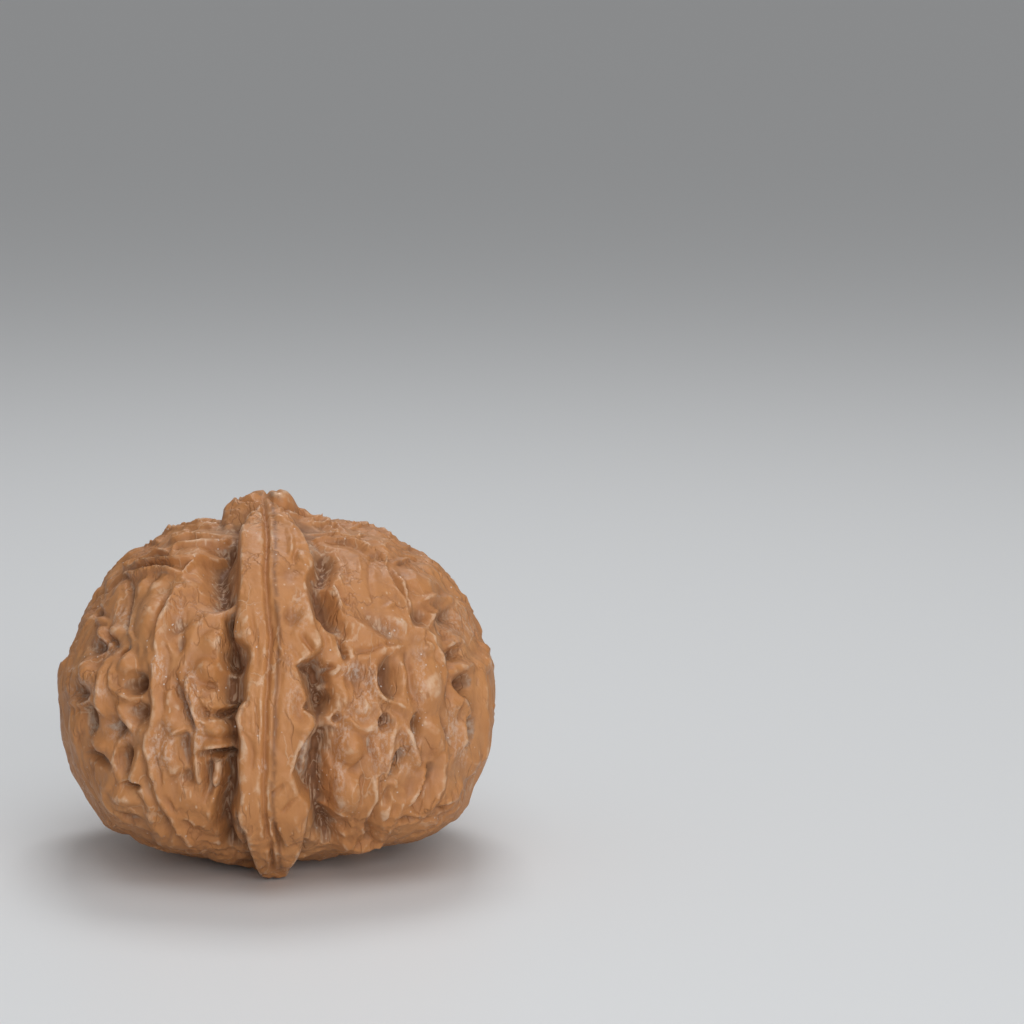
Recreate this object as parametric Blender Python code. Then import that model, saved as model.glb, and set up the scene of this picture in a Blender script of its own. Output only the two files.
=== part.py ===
# A wenwan walnut: one shell of two halves grown together along a thick seam keel.
# It stands on its sole with the keel's broad edge to the front (-Y) and its tip up (+Z).
# The shell is a rounded body and keel given by formulas. Its crests, ditches and pits are
# raised and sunk from that surface by formulas, along lines laid out on the front face.
import bpy
import numpy as np
from math import cos, radians, sin

# Sizes in millimetres, and the number that turns them into metres
MM = 0.001
CENTRE_HEIGHT = 14.6
BELLY_LEFT = 19.7
BELLY_RIGHT = 21.25
BODY_DEPTH = 20.0
BODY_RISE = 16.4
BODY_DROP = 14.3
BODY_FULLNESS = 2.55
KEEL_DEPTH = 22.7
KEEL_RISE = 19.6
KEEL_DROP = 15.3
KEEL_EDGE = 1.0
KEEL_EDGE_BACK = 2.4
TIP_SLOPE = 1.4
KEEL_FULLNESS_UP = 2.05
KEEL_FULLNESS_DOWN = 2.75
KEEL_REACH = 4.0
CROWN_FRONT = (-3.4, -0.2)
CROWN_BACK = (1.6, 5.5)
SEAM_WIDTH = 0.42
SEAM_DEPTH = 0.55

# How bold the relief is: factors on the heights and half widths given below, and how sharply two
# lines that cross keep to the taller one
LINE_RISE = 0.82
LINE_BREADTH = 1.4
PLATE_RISE = 1.25
SPOT_RISE = 1.25
SPOT_BREADTH = 1.25
BLEND_POWER = 2.5
RIM_CALM = 0.5
SMOOTH_CALM = 0.8
BACK_SHARES = (0.4, 1.2)
BACK_DRIFT = 1.6

# Seeded ribs and pits of the flanks: turns and rises from the centre in degrees
FLANK_TURNS = (70.0, 118.0)
FLANK_RISES = (-52, 50)
RIB_GAPS = (8.0, 12.0)
RIB_SWAY = 1.9
RIB_POINTS = 10
RIB_HEIGHTS = (0.4, 0.75)
RIB_WIDTHS = (1.1, 1.5)
BRIDGE_HEIGHTS = (0.4, 0.7)
BRIDGE_CHANCE = 0.35
PIT_HEIGHTS = (-1.4, -1.0, -0.7, 0.5)
PIT_WIDTHS = (0.8, 1.5)
PIT_TALLS = (1.0, 2.1)
PIT_TILT = 25

# The underside: the stalk's scar, its rim, the ribs that run out from it and the lumps it rests on
SCAR_DEPTH = 1.6
SCAR_REACHES = (3.0, 3.8)
SCAR_RIM = 17
SOLE_RIBS = 16
SOLE_LUMPS = (82, -76, 112, -108)
SOLE_LUMP_RISE = -60
SOLE_LUMP_HEIGHT = 1.5
SOLE_LUMP_REACHES = (3.0, 2.6)

# Lines and spots on the front are given as seen from a point this far out and this high up,
# across and up from the seam's foot.
SIGHT_DISTANCE = 450.0
SIGHT_RISE = radians(11.0)
SIGHT_DEPTHS = (-32, 18, 110)

# Finish and mesh
SHELL_COLOUR = (0.36, 0.17, 0.075, 1.0)
SHELL_ROUGHNESS = 0.42
DENSE_STEPS = 84
TRIANGLES = 11200
GRAIN_SEED = 7
WRAP_STEP = 1.2

# The keel's two edges on the front face: how far across it is at each height
KEEL_LEFT = [
    (-3.0, -0.6), (-2.2, -1.3), (-1.4, -1.8), (-0.6, -2.1), (0.5, -2.3), (1.4, -2.5), (2.2, -3.0),
    (3.0, -3.2), (5.0, -2.9), (6.0, -3.0), (8.0, -3.1), (10.0, -2.9), (11.3, -3.1), (12.3, -3.3),
    (13.5, -2.9), (14.2, -2.3), (16.5, -2.2), (18.3, -1.8), (19.3, -2.0), (20.4, -3.2),
    (21.0, -3.4), (23.0, -2.9), (26.0, -2.75), (28.0, -2.8), (29.5, -2.8), (31.0, -2.8),
    (32.0, -2.3), (33.0, -1.3), (33.8, -0.6),
]
KEEL_RIGHT = [
    (-3.0, 1.2), (-2.2, 2.1), (-1.4, 2.8), (-0.6, 3.3), (0.5, 3.6), (1.5, 3.8), (2.5, 4.0),
    (3.5, 4.3), (4.0, 4.2), (5.0, 3.3), (7.0, 2.6), (8.0, 2.9), (9.0, 3.2), (10.4, 4.0),
    (11.7, 4.8), (12.4, 4.7), (13.2, 3.7), (14.2, 4.0), (15.9, 3.5), (17.4, 3.0), (18.0, 3.9),
    (18.7, 5.0), (19.4, 5.3), (20.2, 5.2), (21.5, 4.6), (23.0, 4.4), (25.6, 4.0), (26.3, 4.2),
    (27.2, 4.7), (28.0, 4.7), (30.0, 3.9), (31.0, 3.3), (32.0, 2.6), (33.0, 1.6), (33.8, 0.6),
]
SEAM = [
    (-0.3, 33.5), (0.0, 31.0), (0.0, 29.0), (-0.1, 27.0), (-0.1, 25.5), (0.05, 23.5), (0.2, 21.5),
    (0.3, 19.5), (0.1, 17.0), (-0.1, 13.5), (-0.3, 10.0), (-0.45, 6.0), (-0.3, 3.0), (0.0, 0.0),
    (0.3, -2.2),
]

# Crests and creases: height over the shell (below it where negative), half width, lean, and the
# points that the line runs through. Lean lengthens the slope on the left of the line's travel.
TIP_LINES = [
    (0.5, 0.5, 0.0, [(0.0, 31.9), (0.9, 31.6), (1.7, 31.1), (2.3, 30.5), (2.6, 29.2), (2.6, 27.5)]),
    (-0.35, 0.4, 0.0, [(1.5, 31.0), (2.4, 30.3), (2.75, 29.0), (2.8, 27.5), (2.9, 26.4)]),
    (-0.6, 0.55, 0.0, [(-0.6, 33.5), (-1.7, 33.2), (-2.8, 32.8), (-3.9, 31.9)]),
    (-0.6, 0.55, 0.0, [(0.1, 33.5), (1.1, 33.1), (2.5, 32.5), (3.9, 31.5), (5.0, 30.9)]),
]
LEFT_SHOULDER_LINES = [
    (0.5, 0.9, 0.5, [(-8.7, 30.4), (-5.0, 30.8), (-3.4, 31.1)]),
    (0.5, 0.9, 0.5, [(-10.0, 30.0), (-8.6, 30.15), (-5.0, 30.4), (-3.0, 30.9)]),
    (0.55, 0.8, 0.5, [(-9.4, 29.1), (-8.5, 29.2), (-7.5, 29.5), (-6.0, 29.6), (-3.5, 29.7)]),
    (0.4, 0.7, 0.5, [(-11.5, 28.9), (-10.0, 29.1)]),
    (0.55, 0.8, 0.5, [(-8.8, 28.1), (-8.3, 28.6), (-6.5, 28.9), (-4.0, 29.3), (-3.3, 29.8)]),
    (0.5, 0.9, 0.5, [(-13.2, 26.8), (-12.0, 27.3), (-10.0, 28.0), (-9.0, 28.0)]),
    (0.9, 1.0, 0.5, [(-13.5, 26.6), (-11.0, 27.0), (-9.0, 27.0), (-7.5, 27.2), (-6.2, 27.5),
                     (-5.1, 27.9), (-4.5, 28.5), (-4.0, 29.0)]),
    (0.45, 0.5, 0.5, [(-8.0, 26.1), (-7.5, 26.5), (-6.8, 27.1), (-6.1, 27.5)]),
    (0.7, 0.9, 0.5, [(-13.6, 25.9), (-13.0, 26.0), (-12.5, 25.75), (-11.9, 26.0), (-10.3, 26.3),
                     (-9.0, 26.15), (-8.0, 26.1)]),
    (-0.4, 0.5, 0.0, [(-12.5, 26.5), (-10.5, 26.7), (-8.6, 26.6)]),
    (-0.4, 0.5, 0.0, [(-9.6, 28.4), (-8.9, 28.7), (-8.8, 29.0)]),
]
LEFT_LINES = [
    (-2.2, 2.2, 0.0, [(-4.0, 29.2), (-4.4, 27.5), (-4.7, 25.6), (-4.3, 23.8), (-3.6, 22.9)]),
    (-1.9, 1.1, 0.0, [(-3.7, 22.6), (-3.5, 21.4), (-3.6, 20.2), (-3.5, 19.0)]),
    (-2.6, 1.3, 0.0, [(-3.6, 20.2), (-3.4, 18.8), (-3.1, 17.6), (-3.3, 16.4)]),
    (-1.4, 1.3, 0.0, [(-3.2, 17.2), (-3.6, 15.6), (-3.7, 14.2), (-3.9, 12.8)]),
    (-2.2, 0.7, 0.0, [(-5.4, 13.0), (-4.4, 12.9), (-3.4, 13.3), (-2.6, 13.8)]),
    (-1.2, 1.0, 0.0, [(-3.8, 13.0), (-3.5, 11.4), (-3.4, 9.6)]),
    (-2.3, 0.65, 0.0, [(-6.6, 8.7), (-5.4, 8.8), (-4.2, 8.7), (-2.8, 9.2)]),
    (-1.9, 1.1, 0.0, [(-3.5, 9.2), (-3.6, 7.4), (-3.8, 5.4), (-4.3, 3.4), (-4.0, 1.6), (-3.6, 0.0)]),
    (-1.3, 0.7, 0.0, [(-5.7, 9.0), (-5.8, 7.6), (-5.5, 6.2), (-5.8, 4.8)]),
    (0.5, 0.4, 0.0, [(-4.4, 19.9), (-3.6, 20.2), (-2.8, 20.2)]),
    (0.7, 0.8, 0.0, [(-3.0, 23.0), (-4.0, 22.6), (-5.0, 22.3), (-6.0, 21.9), (-6.5, 21.3),
                     (-6.8, 20.5), (-7.0, 19.5), (-7.3, 18.5)]),
    (0.55, 0.7, 0.0, [(-7.9, 26.0), (-7.9, 25.3), (-7.0, 25.0), (-6.3, 24.7), (-4.9, 24.7)]),
    (0.6, 0.8, 0.0, [(-7.0, 15.3), (-6.5, 14.8), (-5.5, 14.0), (-4.8, 13.6), (-4.0, 13.7),
                     (-3.0, 14.1)]),
    (0.5, 0.6, 0.0, [(-6.9, 12.6), (-6.3, 12.1), (-5.5, 12.0), (-4.3, 12.4)]),
    (0.8, 0.8, 0.3, [(-6.9, 9.2), (-6.0, 9.3), (-5.0, 9.6), (-3.0, 9.9)]),
    (0.5, 0.5, 0.0, [(-5.9, 6.5), (-5.3, 5.5), (-5.6, 3.5), (-5.3, 2.3)]),
    (0.7, 0.8, 0.0, [(-7.2, 17.0), (-7.4, 16.0), (-6.9, 14.0), (-6.8, 12.0), (-6.9, 10.0),
                     (-6.6, 8.0), (-6.6, 6.0)]),
    (-0.6, 0.6, 0.0, [(-8.5, 16.4), (-8.2, 15.0), (-7.9, 14.0), (-7.7, 13.0), (-7.4, 12.0),
                      (-7.3, 11.0), (-7.6, 10.3)]),
    (1.0, 0.75, 0.0, [(-8.3, 25.0), (-8.8, 23.8), (-9.3, 22.5), (-9.9, 21.5), (-10.2, 20.0),
                      (-10.3, 18.5), (-10.5, 17.0), (-10.6, 15.5), (-10.5, 14.0), (-10.8, 12.0),
                      (-11.2, 11.0), (-11.3, 10.0), (-10.9, 8.0), (-10.6, 7.0), (-10.2, 6.0),
                      (-9.8, 5.0), (-9.3, 4.0), (-8.7, 3.0), (-8.2, 2.0), (-7.4, 1.0), (-6.9, 0.3)]),
    (0.4, 0.4, 0.0, [(-10.3, 10.6), (-10.2, 9.0), (-9.9, 7.4), (-9.4, 5.6), (-8.8, 4.2),
                     (-8.2, 3.0), (-7.4, 1.6)]),
    (-0.35, 0.35, 0.0, [(-10.7, 11.0), (-10.5, 9.0), (-10.2, 7.4), (-9.8, 5.6), (-9.0, 4.0),
                        (-8.0, 2.0)]),
    (0.55, 0.5, 0.0, [(-9.6, 22.0), (-9.5, 20.0), (-9.2, 19.2), (-8.8, 18.7)]),
    (-0.5, 0.45, 0.0, [(-9.3, 24.6), (-9.8, 23.3), (-10.2, 22.0), (-10.5, 20.5), (-10.8, 19.0)]),
    (0.5, 0.5, 0.0, [(-9.2, 11.0), (-8.4, 11.3), (-7.6, 11.2)]),
    (-0.4, 0.4, 0.0, [(-9.2, 10.6), (-8.2, 10.9), (-7.6, 10.7)]),
    (0.7, 0.7, 0.0, [(-11.6, 13.0), (-12.1, 11.0), (-11.9, 10.0), (-12.1, 9.0), (-12.2, 8.0),
                     (-12.4, 7.0), (-12.0, 6.0), (-11.4, 5.0), (-11.0, 4.0), (-10.8, 3.0),
                     (-10.3, 2.0), (-9.5, 1.3)]),
    (0.8, 0.7, 0.0, [(-14.6, 18.5), (-15.3, 17.0), (-15.5, 15.5), (-15.6, 14.0), (-15.4, 13.0),
                     (-15.2, 12.5)]),
    (0.5, 0.5, 0.0, [(-14.2, 18.5), (-14.5, 17.0), (-14.6, 15.5), (-14.0, 15.0), (-13.0, 14.6),
                     (-12.2, 14.2)]),
    (-0.5, 0.6, 0.0, [(-15.6, 25.3), (-15.6, 24.0), (-15.8, 22.8)]),
    (-0.55, 0.6, 0.0, [(-13.0, 25.5), (-12.9, 24.0), (-13.1, 22.5), (-13.3, 21.0)]),
    (0.45, 0.4, 0.0, [(-12.6, 22.7), (-12.9, 21.5), (-13.1, 20.7), (-12.8, 20.0), (-12.4, 19.5)]),
    (-0.6, 0.5, 0.0, [(-15.2, 20.4), (-14.6, 20.0), (-14.3, 19.2)]),
    (-0.9, 0.5, 0.0, [(-14.1, 18.4), (-13.6, 18.8), (-13.0, 19.2)]),
    (0.5, 0.5, 0.0, [(-18.9, 13.9), (-17.5, 14.1), (-16.2, 14.8)]),
    (0.7, 0.8, 0.0, [(-13.9, 14.2), (-13.6, 13.0), (-13.2, 12.0), (-12.8, 11.0)]),
    (0.4, 0.6, 0.0, [(-18.6, 19.0), (-18.9, 17.6), (-19.6, 16.6)]),
    (0.4, 0.5, 0.0, [(-11.4, 19.6), (-11.0, 18.6), (-11.0, 17.4), (-10.9, 16.4)]),
    (0.4, 0.6, 0.0, [(-14.9, 6.6), (-15.4, 5.6), (-15.0, 4.4), (-14.4, 3.4)]),
]
LEFT_SPOTS = [
    (-1.3, -4.9, 25.2, 2.0, 3.2, 6.0),
    (-0.9, -3.8, 24.0, 1.3, 1.1, 0.0),
    (-0.4, -6.4, 25.9, 1.2, 0.8, 30.0),
    (-1.5, -3.3, 18.5, 0.9, 1.2, 0.0),
    (-0.5, -5.3, 15.3, 1.0, 0.4, -10.0),
    (-1.2, -4.0, 13.1, 1.0, 0.55, 10.0),
    (-0.6, -6.0, 13.1, 0.8, 0.8, 0.0),
    (-1.5, -4.6, 8.9, 1.5, 0.5, 5.0),
    (-0.8, -5.7, 7.7, 0.5, 1.1, 0.0),
    (0.9, -5.5, 16.9, 1.3, 1.1, 0.0),
    (0.9, -4.7, 11.2, 1.7, 0.9, 5.0),
    (0.6, -4.8, 6.6, 0.9, 0.7, 20.0),
    (-0.9, -4.0, 2.0, 1.5, 1.0, 20.0),
    (0.6, -5.0, 19.6, 1.6, 1.2, 0.0),
    (0.5, -4.4, 7.0, 0.6, 1.2, 10.0),
    (0.5, -7.2, 3.6, 1.8, 2.5, 10.0),
    (-0.7, -7.9, 9.6, 0.9, 1.7, 0.0),
    (-0.6, -8.0, 7.0, 0.8, 1.0, 0.0),
    (0.4, -9.0, 14.4, 1.0, 1.4, 0.0),
    (0.4, -9.2, 12.4, 0.9, 0.9, 0.0),
    (0.5, -9.1, 8.6, 0.9, 1.8, 0.0),
    (0.5, -16.4, 23.8, 0.8, 1.8, -14.0),
    (0.6, -14.2, 23.8, 1.1, 2.0, 0.0),
    (0.7, -11.3, 22.2, 1.3, 2.2, 0.0),
    (0.4, -10.3, 25.0, 0.7, 1.1, 0.0),
    (0.4, -11.7, 25.0, 0.8, 0.9, 0.0),
    (-0.9, -15.9, 22.5, 0.6, 0.5, 0.0),
    (0.6, -15.7, 21.6, 0.7, 0.5, 0.0),
    (0.6, -15.6, 20.5, 0.8, 0.6, -15.0),
    (0.5, -14.3, 20.8, 0.7, 0.7, 0.0),
    (-0.9, -16.1, 19.2, 1.2, 0.8, 0.0),
    (0.8, -16.9, 17.2, 1.2, 1.0, -20.0),
    (-0.9, -17.9, 15.3, 1.7, 1.1, 0.0),
    (0.6, -13.3, 17.7, 0.9, 1.1, 0.0),
    (-1.5, -12.5, 15.9, 1.0, 1.0, 0.0),
    (-0.9, -12.2, 13.0, 0.8, 1.3, 0.0),
    (-0.9, -17.0, 12.6, 0.9, 1.7, 5.0),
    (-0.9, -14.6, 11.6, 1.1, 1.0, 0.0),
    (0.7, -15.8, 10.1, 1.1, 0.9, 0.0),
    (-1.0, -16.2, 8.7, 1.5, 0.7, -5.0),
    (-1.3, -13.7, 8.6, 0.7, 1.6, 5.0),
    (-1.1, -12.9, 6.3, 1.0, 0.45, 0.0),
    (0.6, -13.4, 5.0, 1.3, 0.9, 0.0),
    (-0.6, -13.0, 3.2, 1.4, 0.6, 0.0),
    (0.5, -18.3, 11.5, 0.8, 2.2, 0.0),
    (0.4, -18.4, 18.9, 0.6, 1.6, -20.0),
    (0.4, -11.2, 17.9, 0.7, 1.2, 10.0),
    (-0.5, -8.2, 21.3, 0.8, 1.2, 0.0),
    (-0.5, -8.3, 19.5, 0.6, 1.1, 0.0),
]
RIGHT_SHOULDER_LINES = [
    (0.5, 0.8, 0.5, [(3.5, 30.8), (5.5, 30.5), (6.5, 30.4), (7.7, 29.9)]),
    (0.5, 0.8, 0.5, [(8.0, 30.2), (9.2, 30.4), (10.5, 30.1), (12.0, 29.1), (12.8, 28.6)]),
    (0.4, 0.7, 0.5, [(3.8, 29.8), (6.0, 29.6), (8.2, 29.4), (9.0, 29.6), (10.5, 28.9),
                     (11.6, 28.0)]),
    (0.75, 0.9, 0.5, [(4.2, 29.1), (5.0, 29.1), (6.5, 28.85), (7.5, 28.9), (8.7, 28.5),
                      (9.2, 28.0), (10.5, 27.6), (11.1, 26.8)]),
    (0.6, 0.8, 0.0, [(9.3, 29.2), (10.5, 28.5), (11.8, 27.4)]),
    (0.5, 0.6, 0.0, [(9.7, 30.0), (11.0, 29.5), (12.3, 28.6)]),
    (0.45, 0.5, 0.4, [(11.8, 27.0), (12.4, 26.9), (13.7, 26.9)]),
    (0.6, 0.7, 0.5, [(12.8, 28.4), (13.8, 28.2), (14.5, 27.6), (15.2, 27.0), (16.6, 25.7)]),
    (0.55, 0.5, 0.2, [(13.9, 27.6), (14.6, 27.1), (15.4, 26.5), (16.1, 25.8), (16.8, 24.9),
                      (17.4, 24.0), (17.6, 23.3)]),
    (0.45, 0.9, 0.0, [(17.0, 26.0), (18.0, 25.0), (19.0, 23.5), (19.8, 22.0), (20.4, 20.5),
                     (20.9, 19.0)]),
    (-0.5, 0.5, 0.0, [(17.8, 24.2), (18.5, 22.8), (19.2, 21.4), (19.8, 19.8)]),
    (0.6, 0.7, 0.0, [(13.0, 26.4), (13.7, 25.6), (14.0, 24.6)]),
]
RIGHT_LINES = [
    (-0.25, 0.45, 0.0, [(6.9, 28.2), (7.4, 26.4), (7.6, 24.6), (8.2, 22.9)]),
    (0.2, 0.6, 0.0, [(8.4, 28.0), (8.9, 26.2), (8.7, 24.4)]),
    (-0.2, 0.4, 0.0, [(9.6, 28.0), (9.9, 26.0), (9.7, 24.3), (10.4, 22.6)]),
    (-1.5, 1.4, 0.0, [(5.5, 28.0), (5.4, 26.4), (5.2, 24.4), (5.5, 22.0), (6.5, 20.4)]),
    (-2.0, 1.3, 0.0, [(4.0, 17.8), (4.7, 16.0), (5.0, 14.2), (4.7, 12.6)]),
    (-1.7, 1.5, 0.0, [(5.6, 11.2), (4.9, 9.0), (4.6, 6.6), (5.0, 4.0), (5.6, 1.6), (5.8, 0.2)]),
    (0.5, 0.45, 0.0, [(11.0, 26.8), (11.4, 26.0), (11.9, 25.0), (12.4, 24.0), (12.9, 23.0),
                      (13.1, 22.2), (13.7, 21.0), (14.0, 20.3)]),
    (-0.5, 0.4, 0.0, [(11.6, 26.6), (12.0, 25.8), (12.4, 25.0), (12.9, 24.0), (13.4, 23.0),
                      (13.6, 22.0), (13.9, 21.2)]),
    (0.35, 0.4, 0.0, [(12.2, 26.2), (12.7, 25.0), (13.3, 23.9), (13.8, 23.0)]),
    (0.5, 0.5, 0.0, [(6.2, 25.3), (6.6, 24.2), (6.8, 23.2), (7.0, 21.8)]),
    (-0.45, 0.5, 0.0, [(6.5, 25.2), (7.1, 24.2), (7.6, 23.4), (8.3, 22.9)]),
    (-0.45, 0.7, 0.0, [(6.5, 22.6), (6.9, 21.0), (7.4, 19.6)]),
    (0.3, 0.35, 0.0, [(9.0, 22.9), (10.2, 22.6), (12.2, 23.2)]),
    (-0.9, 0.45, 0.0, [(4.1, 25.6), (4.7, 25.5), (5.4, 25.1)]),
    (0.7, 0.6, 0.0, [(4.1, 25.2), (5.0, 25.0), (5.8, 24.6), (6.5, 23.4)]),
    (-1.2, 0.7, 0.0, [(4.6, 24.2), (4.8, 23.0), (5.2, 21.8), (5.8, 21.0)]),
    (-1.5, 0.5, 0.0, [(6.8, 20.2), (7.1, 19.2), (7.4, 18.4), (7.4, 17.8)]),
    (0.5, 0.45, 0.0, [(14.2, 23.3), (15.5, 23.4), (16.5, 23.6), (17.2, 23.9)]),
    (0.5, 0.5, 0.0, [(17.2, 23.8), (16.8, 22.8), (16.0, 22.0), (15.0, 20.9)]),
    (0.6, 0.5, 0.0, [(13.8, 20.9), (14.6, 20.6), (15.4, 19.8), (15.5, 19.0)]),
    (0.5, 0.6, 0.0, [(7.8, 18.6), (8.8, 18.2), (10.2, 18.3), (11.3, 18.6), (12.5, 18.8),
                     (13.3, 19.2)]),
    (-0.35, 0.4, 0.0, [(8.5, 18.8), (10.0, 18.8), (11.4, 19.1), (12.8, 19.5)]),
    (0.7, 0.6, 0.0, [(10.0, 18.0), (10.1, 17.0), (10.2, 16.0), (10.3, 15.0), (10.9, 14.3),
                     (11.7, 14.0), (12.4, 13.6), (13.6, 12.8)]),
    (-0.6, 0.35, 0.0, [(10.4, 16.7), (10.4, 15.8), (10.6, 15.2)]),
    (0.6, 0.55, 0.0, [(12.9, 17.7), (12.7, 16.4), (12.6, 15.2), (13.1, 14.0), (13.8, 13.0)]),
    (-0.45, 0.5, 0.0, [(13.5, 18.8), (13.5, 17.4), (13.5, 16.0), (13.8, 14.7), (14.3, 13.3)]),
    (0.6, 0.5, 0.0, [(15.4, 19.8), (15.8, 18.8), (16.3, 18.0), (16.7, 17.0), (16.8, 16.0),
                     (16.9, 14.6)]),
    (0.6, 0.6, 0.0, [(17.2, 19.0), (18.0, 19.5), (18.7, 19.3), (18.9, 18.5)]),
    (0.6, 0.6, 0.0, [(18.0, 17.2), (19.0, 16.9), (19.9, 17.1)]),
    (0.7, 0.7, 0.0, [(6.9, 12.1), (7.6, 12.2), (8.2, 11.6), (9.3, 11.4), (10.0, 11.8),
                     (10.3, 12.5)]),
    (0.7, 0.6, 0.0, [(13.0, 11.6), (13.5, 9.5), (13.8, 8.5), (14.6, 7.2), (14.4, 5.8),
                     (13.6, 4.6), (13.1, 3.8)]),
    (-1.4, 0.6, 0.0, [(15.3, 7.7), (15.0, 6.5), (14.6, 5.2), (14.2, 4.3)]),
    (0.8, 0.8, 0.0, [(15.3, 12.3), (16.0, 10.8), (16.3, 9.0), (16.3, 7.5), (16.1, 5.8),
                     (15.6, 4.4), (15.0, 3.2)]),
    (-0.5, 0.5, 0.0, [(16.3, 12.9), (16.7, 11.5), (17.1, 10.5), (17.6, 9.2)]),
    (0.8, 0.6, 0.0, [(17.5, 15.0), (18.4, 13.8), (19.0, 12.5), (18.4, 11.2), (18.4, 10.0),
                     (18.4, 8.8)]),
    (0.9, 0.9, 0.0, [(20.6, 18.6), (20.2, 17.0), (20.2, 15.0), (20.2, 13.0), (20.4, 11.0),
                     (20.3, 9.0), (19.8, 7.4)]),
    (-0.6, 0.5, 0.0, [(21.2, 18.0), (21.2, 16.0), (21.3, 13.0), (21.3, 10.0), (20.9, 8.0)]),
    (0.5, 0.45, 0.0, [(18.4, 7.2), (17.8, 5.6), (17.1, 4.5), (16.2, 4.0)]),
    (0.5, 0.5, 0.0, [(9.9, 6.9), (10.0, 5.0), (9.7, 4.0), (9.2, 3.1), (8.2, 2.8)]),
    (-0.5, 0.45, 0.0, [(9.3, 7.0), (8.9, 6.0), (8.8, 5.0), (8.3, 3.6)]),
    (-0.6, 0.5, 0.0, [(10.2, 4.2), (9.9, 3.0), (9.5, 2.0), (9.3, 0.9)]),
    (0.6, 0.7, 0.0, [(11.4, 4.6), (11.1, 3.0), (10.6, 1.4), (9.8, 0.3), (8.8, 0.0)]),
    (-0.4, 0.35, 0.0, [(10.8, 7.0), (10.5, 5.6), (10.4, 4.4)]),
    (-0.4, 0.35, 0.0, [(11.3, 6.0), (11.0, 5.0), (10.9, 4.0)]),
    (0.5, 0.5, 0.0, [(4.5, 3.9), (5.4, 3.6), (6.3, 3.3), (7.8, 2.7)]),
    (-0.5, 0.5, 0.0, [(6.4, 12.0), (6.7, 11.0), (6.3, 9.5), (6.0, 8.0), (5.9, 6.5), (5.8, 4.6)]),
    (0.5, 0.6, 0.0, [(12.4, 12.4), (11.5, 10.6), (11.3, 9.4), (11.2, 8.0), (11.6, 6.6),
                     (12.0, 5.4)]),
    (0.4, 0.5, 0.0, [(10.0, 10.8), (10.3, 9.0), (10.4, 7.6), (10.6, 6.6)]),
    (-0.35, 0.4, 0.0, [(9.6, 10.8), (9.6, 9.4), (9.9, 8.2)]),
    (0.5, 0.6, 0.0, [(12.6, 4.6), (12.4, 3.4), (11.6, 2.0), (10.8, 0.9)]),
    (0.4, 0.5, 0.0, [(15.2, 2.9), (14.2, 3.1), (13.4, 3.6)]),
]
RIGHT_SPOTS = [
    (0.25, 8.8, 25.8, 3.6, 3.2, -25.0),
    (-0.4, 5.6, 27.1, 1.4, 1.4, -10.0),
    (-0.6, 10.9, 21.2, 2.6, 1.1, -42.0),
    (0.3, 9.0, 20.6, 1.3, 2.2, 30.0),
    (0.4, 12.4, 21.6, 0.9, 1.9, 35.0),
    (-0.8, 14.6, 22.1, 1.1, 1.3, 20.0),
    (-0.7, 16.9, 22.0, 1.2, 1.3, 0.0),
    (0.3, 15.0, 25.0, 1.3, 1.3, 0.0),
    (-1.5, 4.0, 17.3, 1.1, 0.8, 10.0),
    (-0.8, 5.4, 17.1, 1.0, 0.5, 0.0),
    (-1.4, 5.0, 14.2, 1.0, 0.6, 0.0),
    (0.7, 5.0, 15.3, 0.7, 0.5, 0.0),
    (0.5, 6.1, 16.8, 1.0, 0.6, 20.0),
    (-0.6, 3.4, 13.3, 0.7, 1.4, 0.0),
    (-0.9, 6.5, 12.2, 0.5, 0.7, 0.0),
    (-0.6, 5.8, 10.8, 1.1, 0.7, 0.0),
    (-0.8, 4.6, 8.7, 1.1, 0.5, 0.0),
    (-1.2, 5.6, 1.6, 1.6, 1.3, 0.0),
    (0.9, 7.8, 9.4, 1.1, 1.7, -5.0),
    (0.9, 7.6, 5.0, 1.4, 2.1, 8.0),
    (0.7, 8.3, 0.3, 2.0, 1.1, 0.0),
    (-1.1, 11.7, 16.2, 1.1, 1.7, -12.0),
    (0.8, 15.3, 15.2, 1.5, 2.4, 0.0),
    (0.5, 17.5, 16.6, 0.7, 0.6, 0.0),
    (0.5, 14.9, 18.9, 0.8, 0.7, 0.0),
    (-0.9, 17.8, 18.4, 1.0, 0.9, 0.0),
    (-1.3, 18.7, 15.4, 0.9, 1.0, 0.0),
    (0.5, 17.7, 13.3, 0.6, 1.1, 20.0),
    (-1.2, 11.2, 11.8, 0.6, 0.8, 0.0),
    (-1.3, 14.3, 11.2, 0.5, 1.5, -8.0),
    (-1.5, 12.2, 7.9, 0.55, 1.6, -25.0),
    (-1.5, 19.2, 11.1, 0.7, 1.5, -5.0),
    (-0.7, 16.8, 3.7, 0.6, 0.5, 0.0),
    (-0.7, 13.5, 2.6, 0.9, 0.6, 0.0),
    (0.4, 9.0, 13.6, 1.4, 1.2, 0.0),
    (0.4, 7.2, 14.4, 1.1, 1.3, 0.0),
    (-0.4, 8.4, 16.0, 1.2, 1.2, 0.0),
    (0.5, 19.4, 8.0, 1.2, 2.0, 15.0),
]
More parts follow.
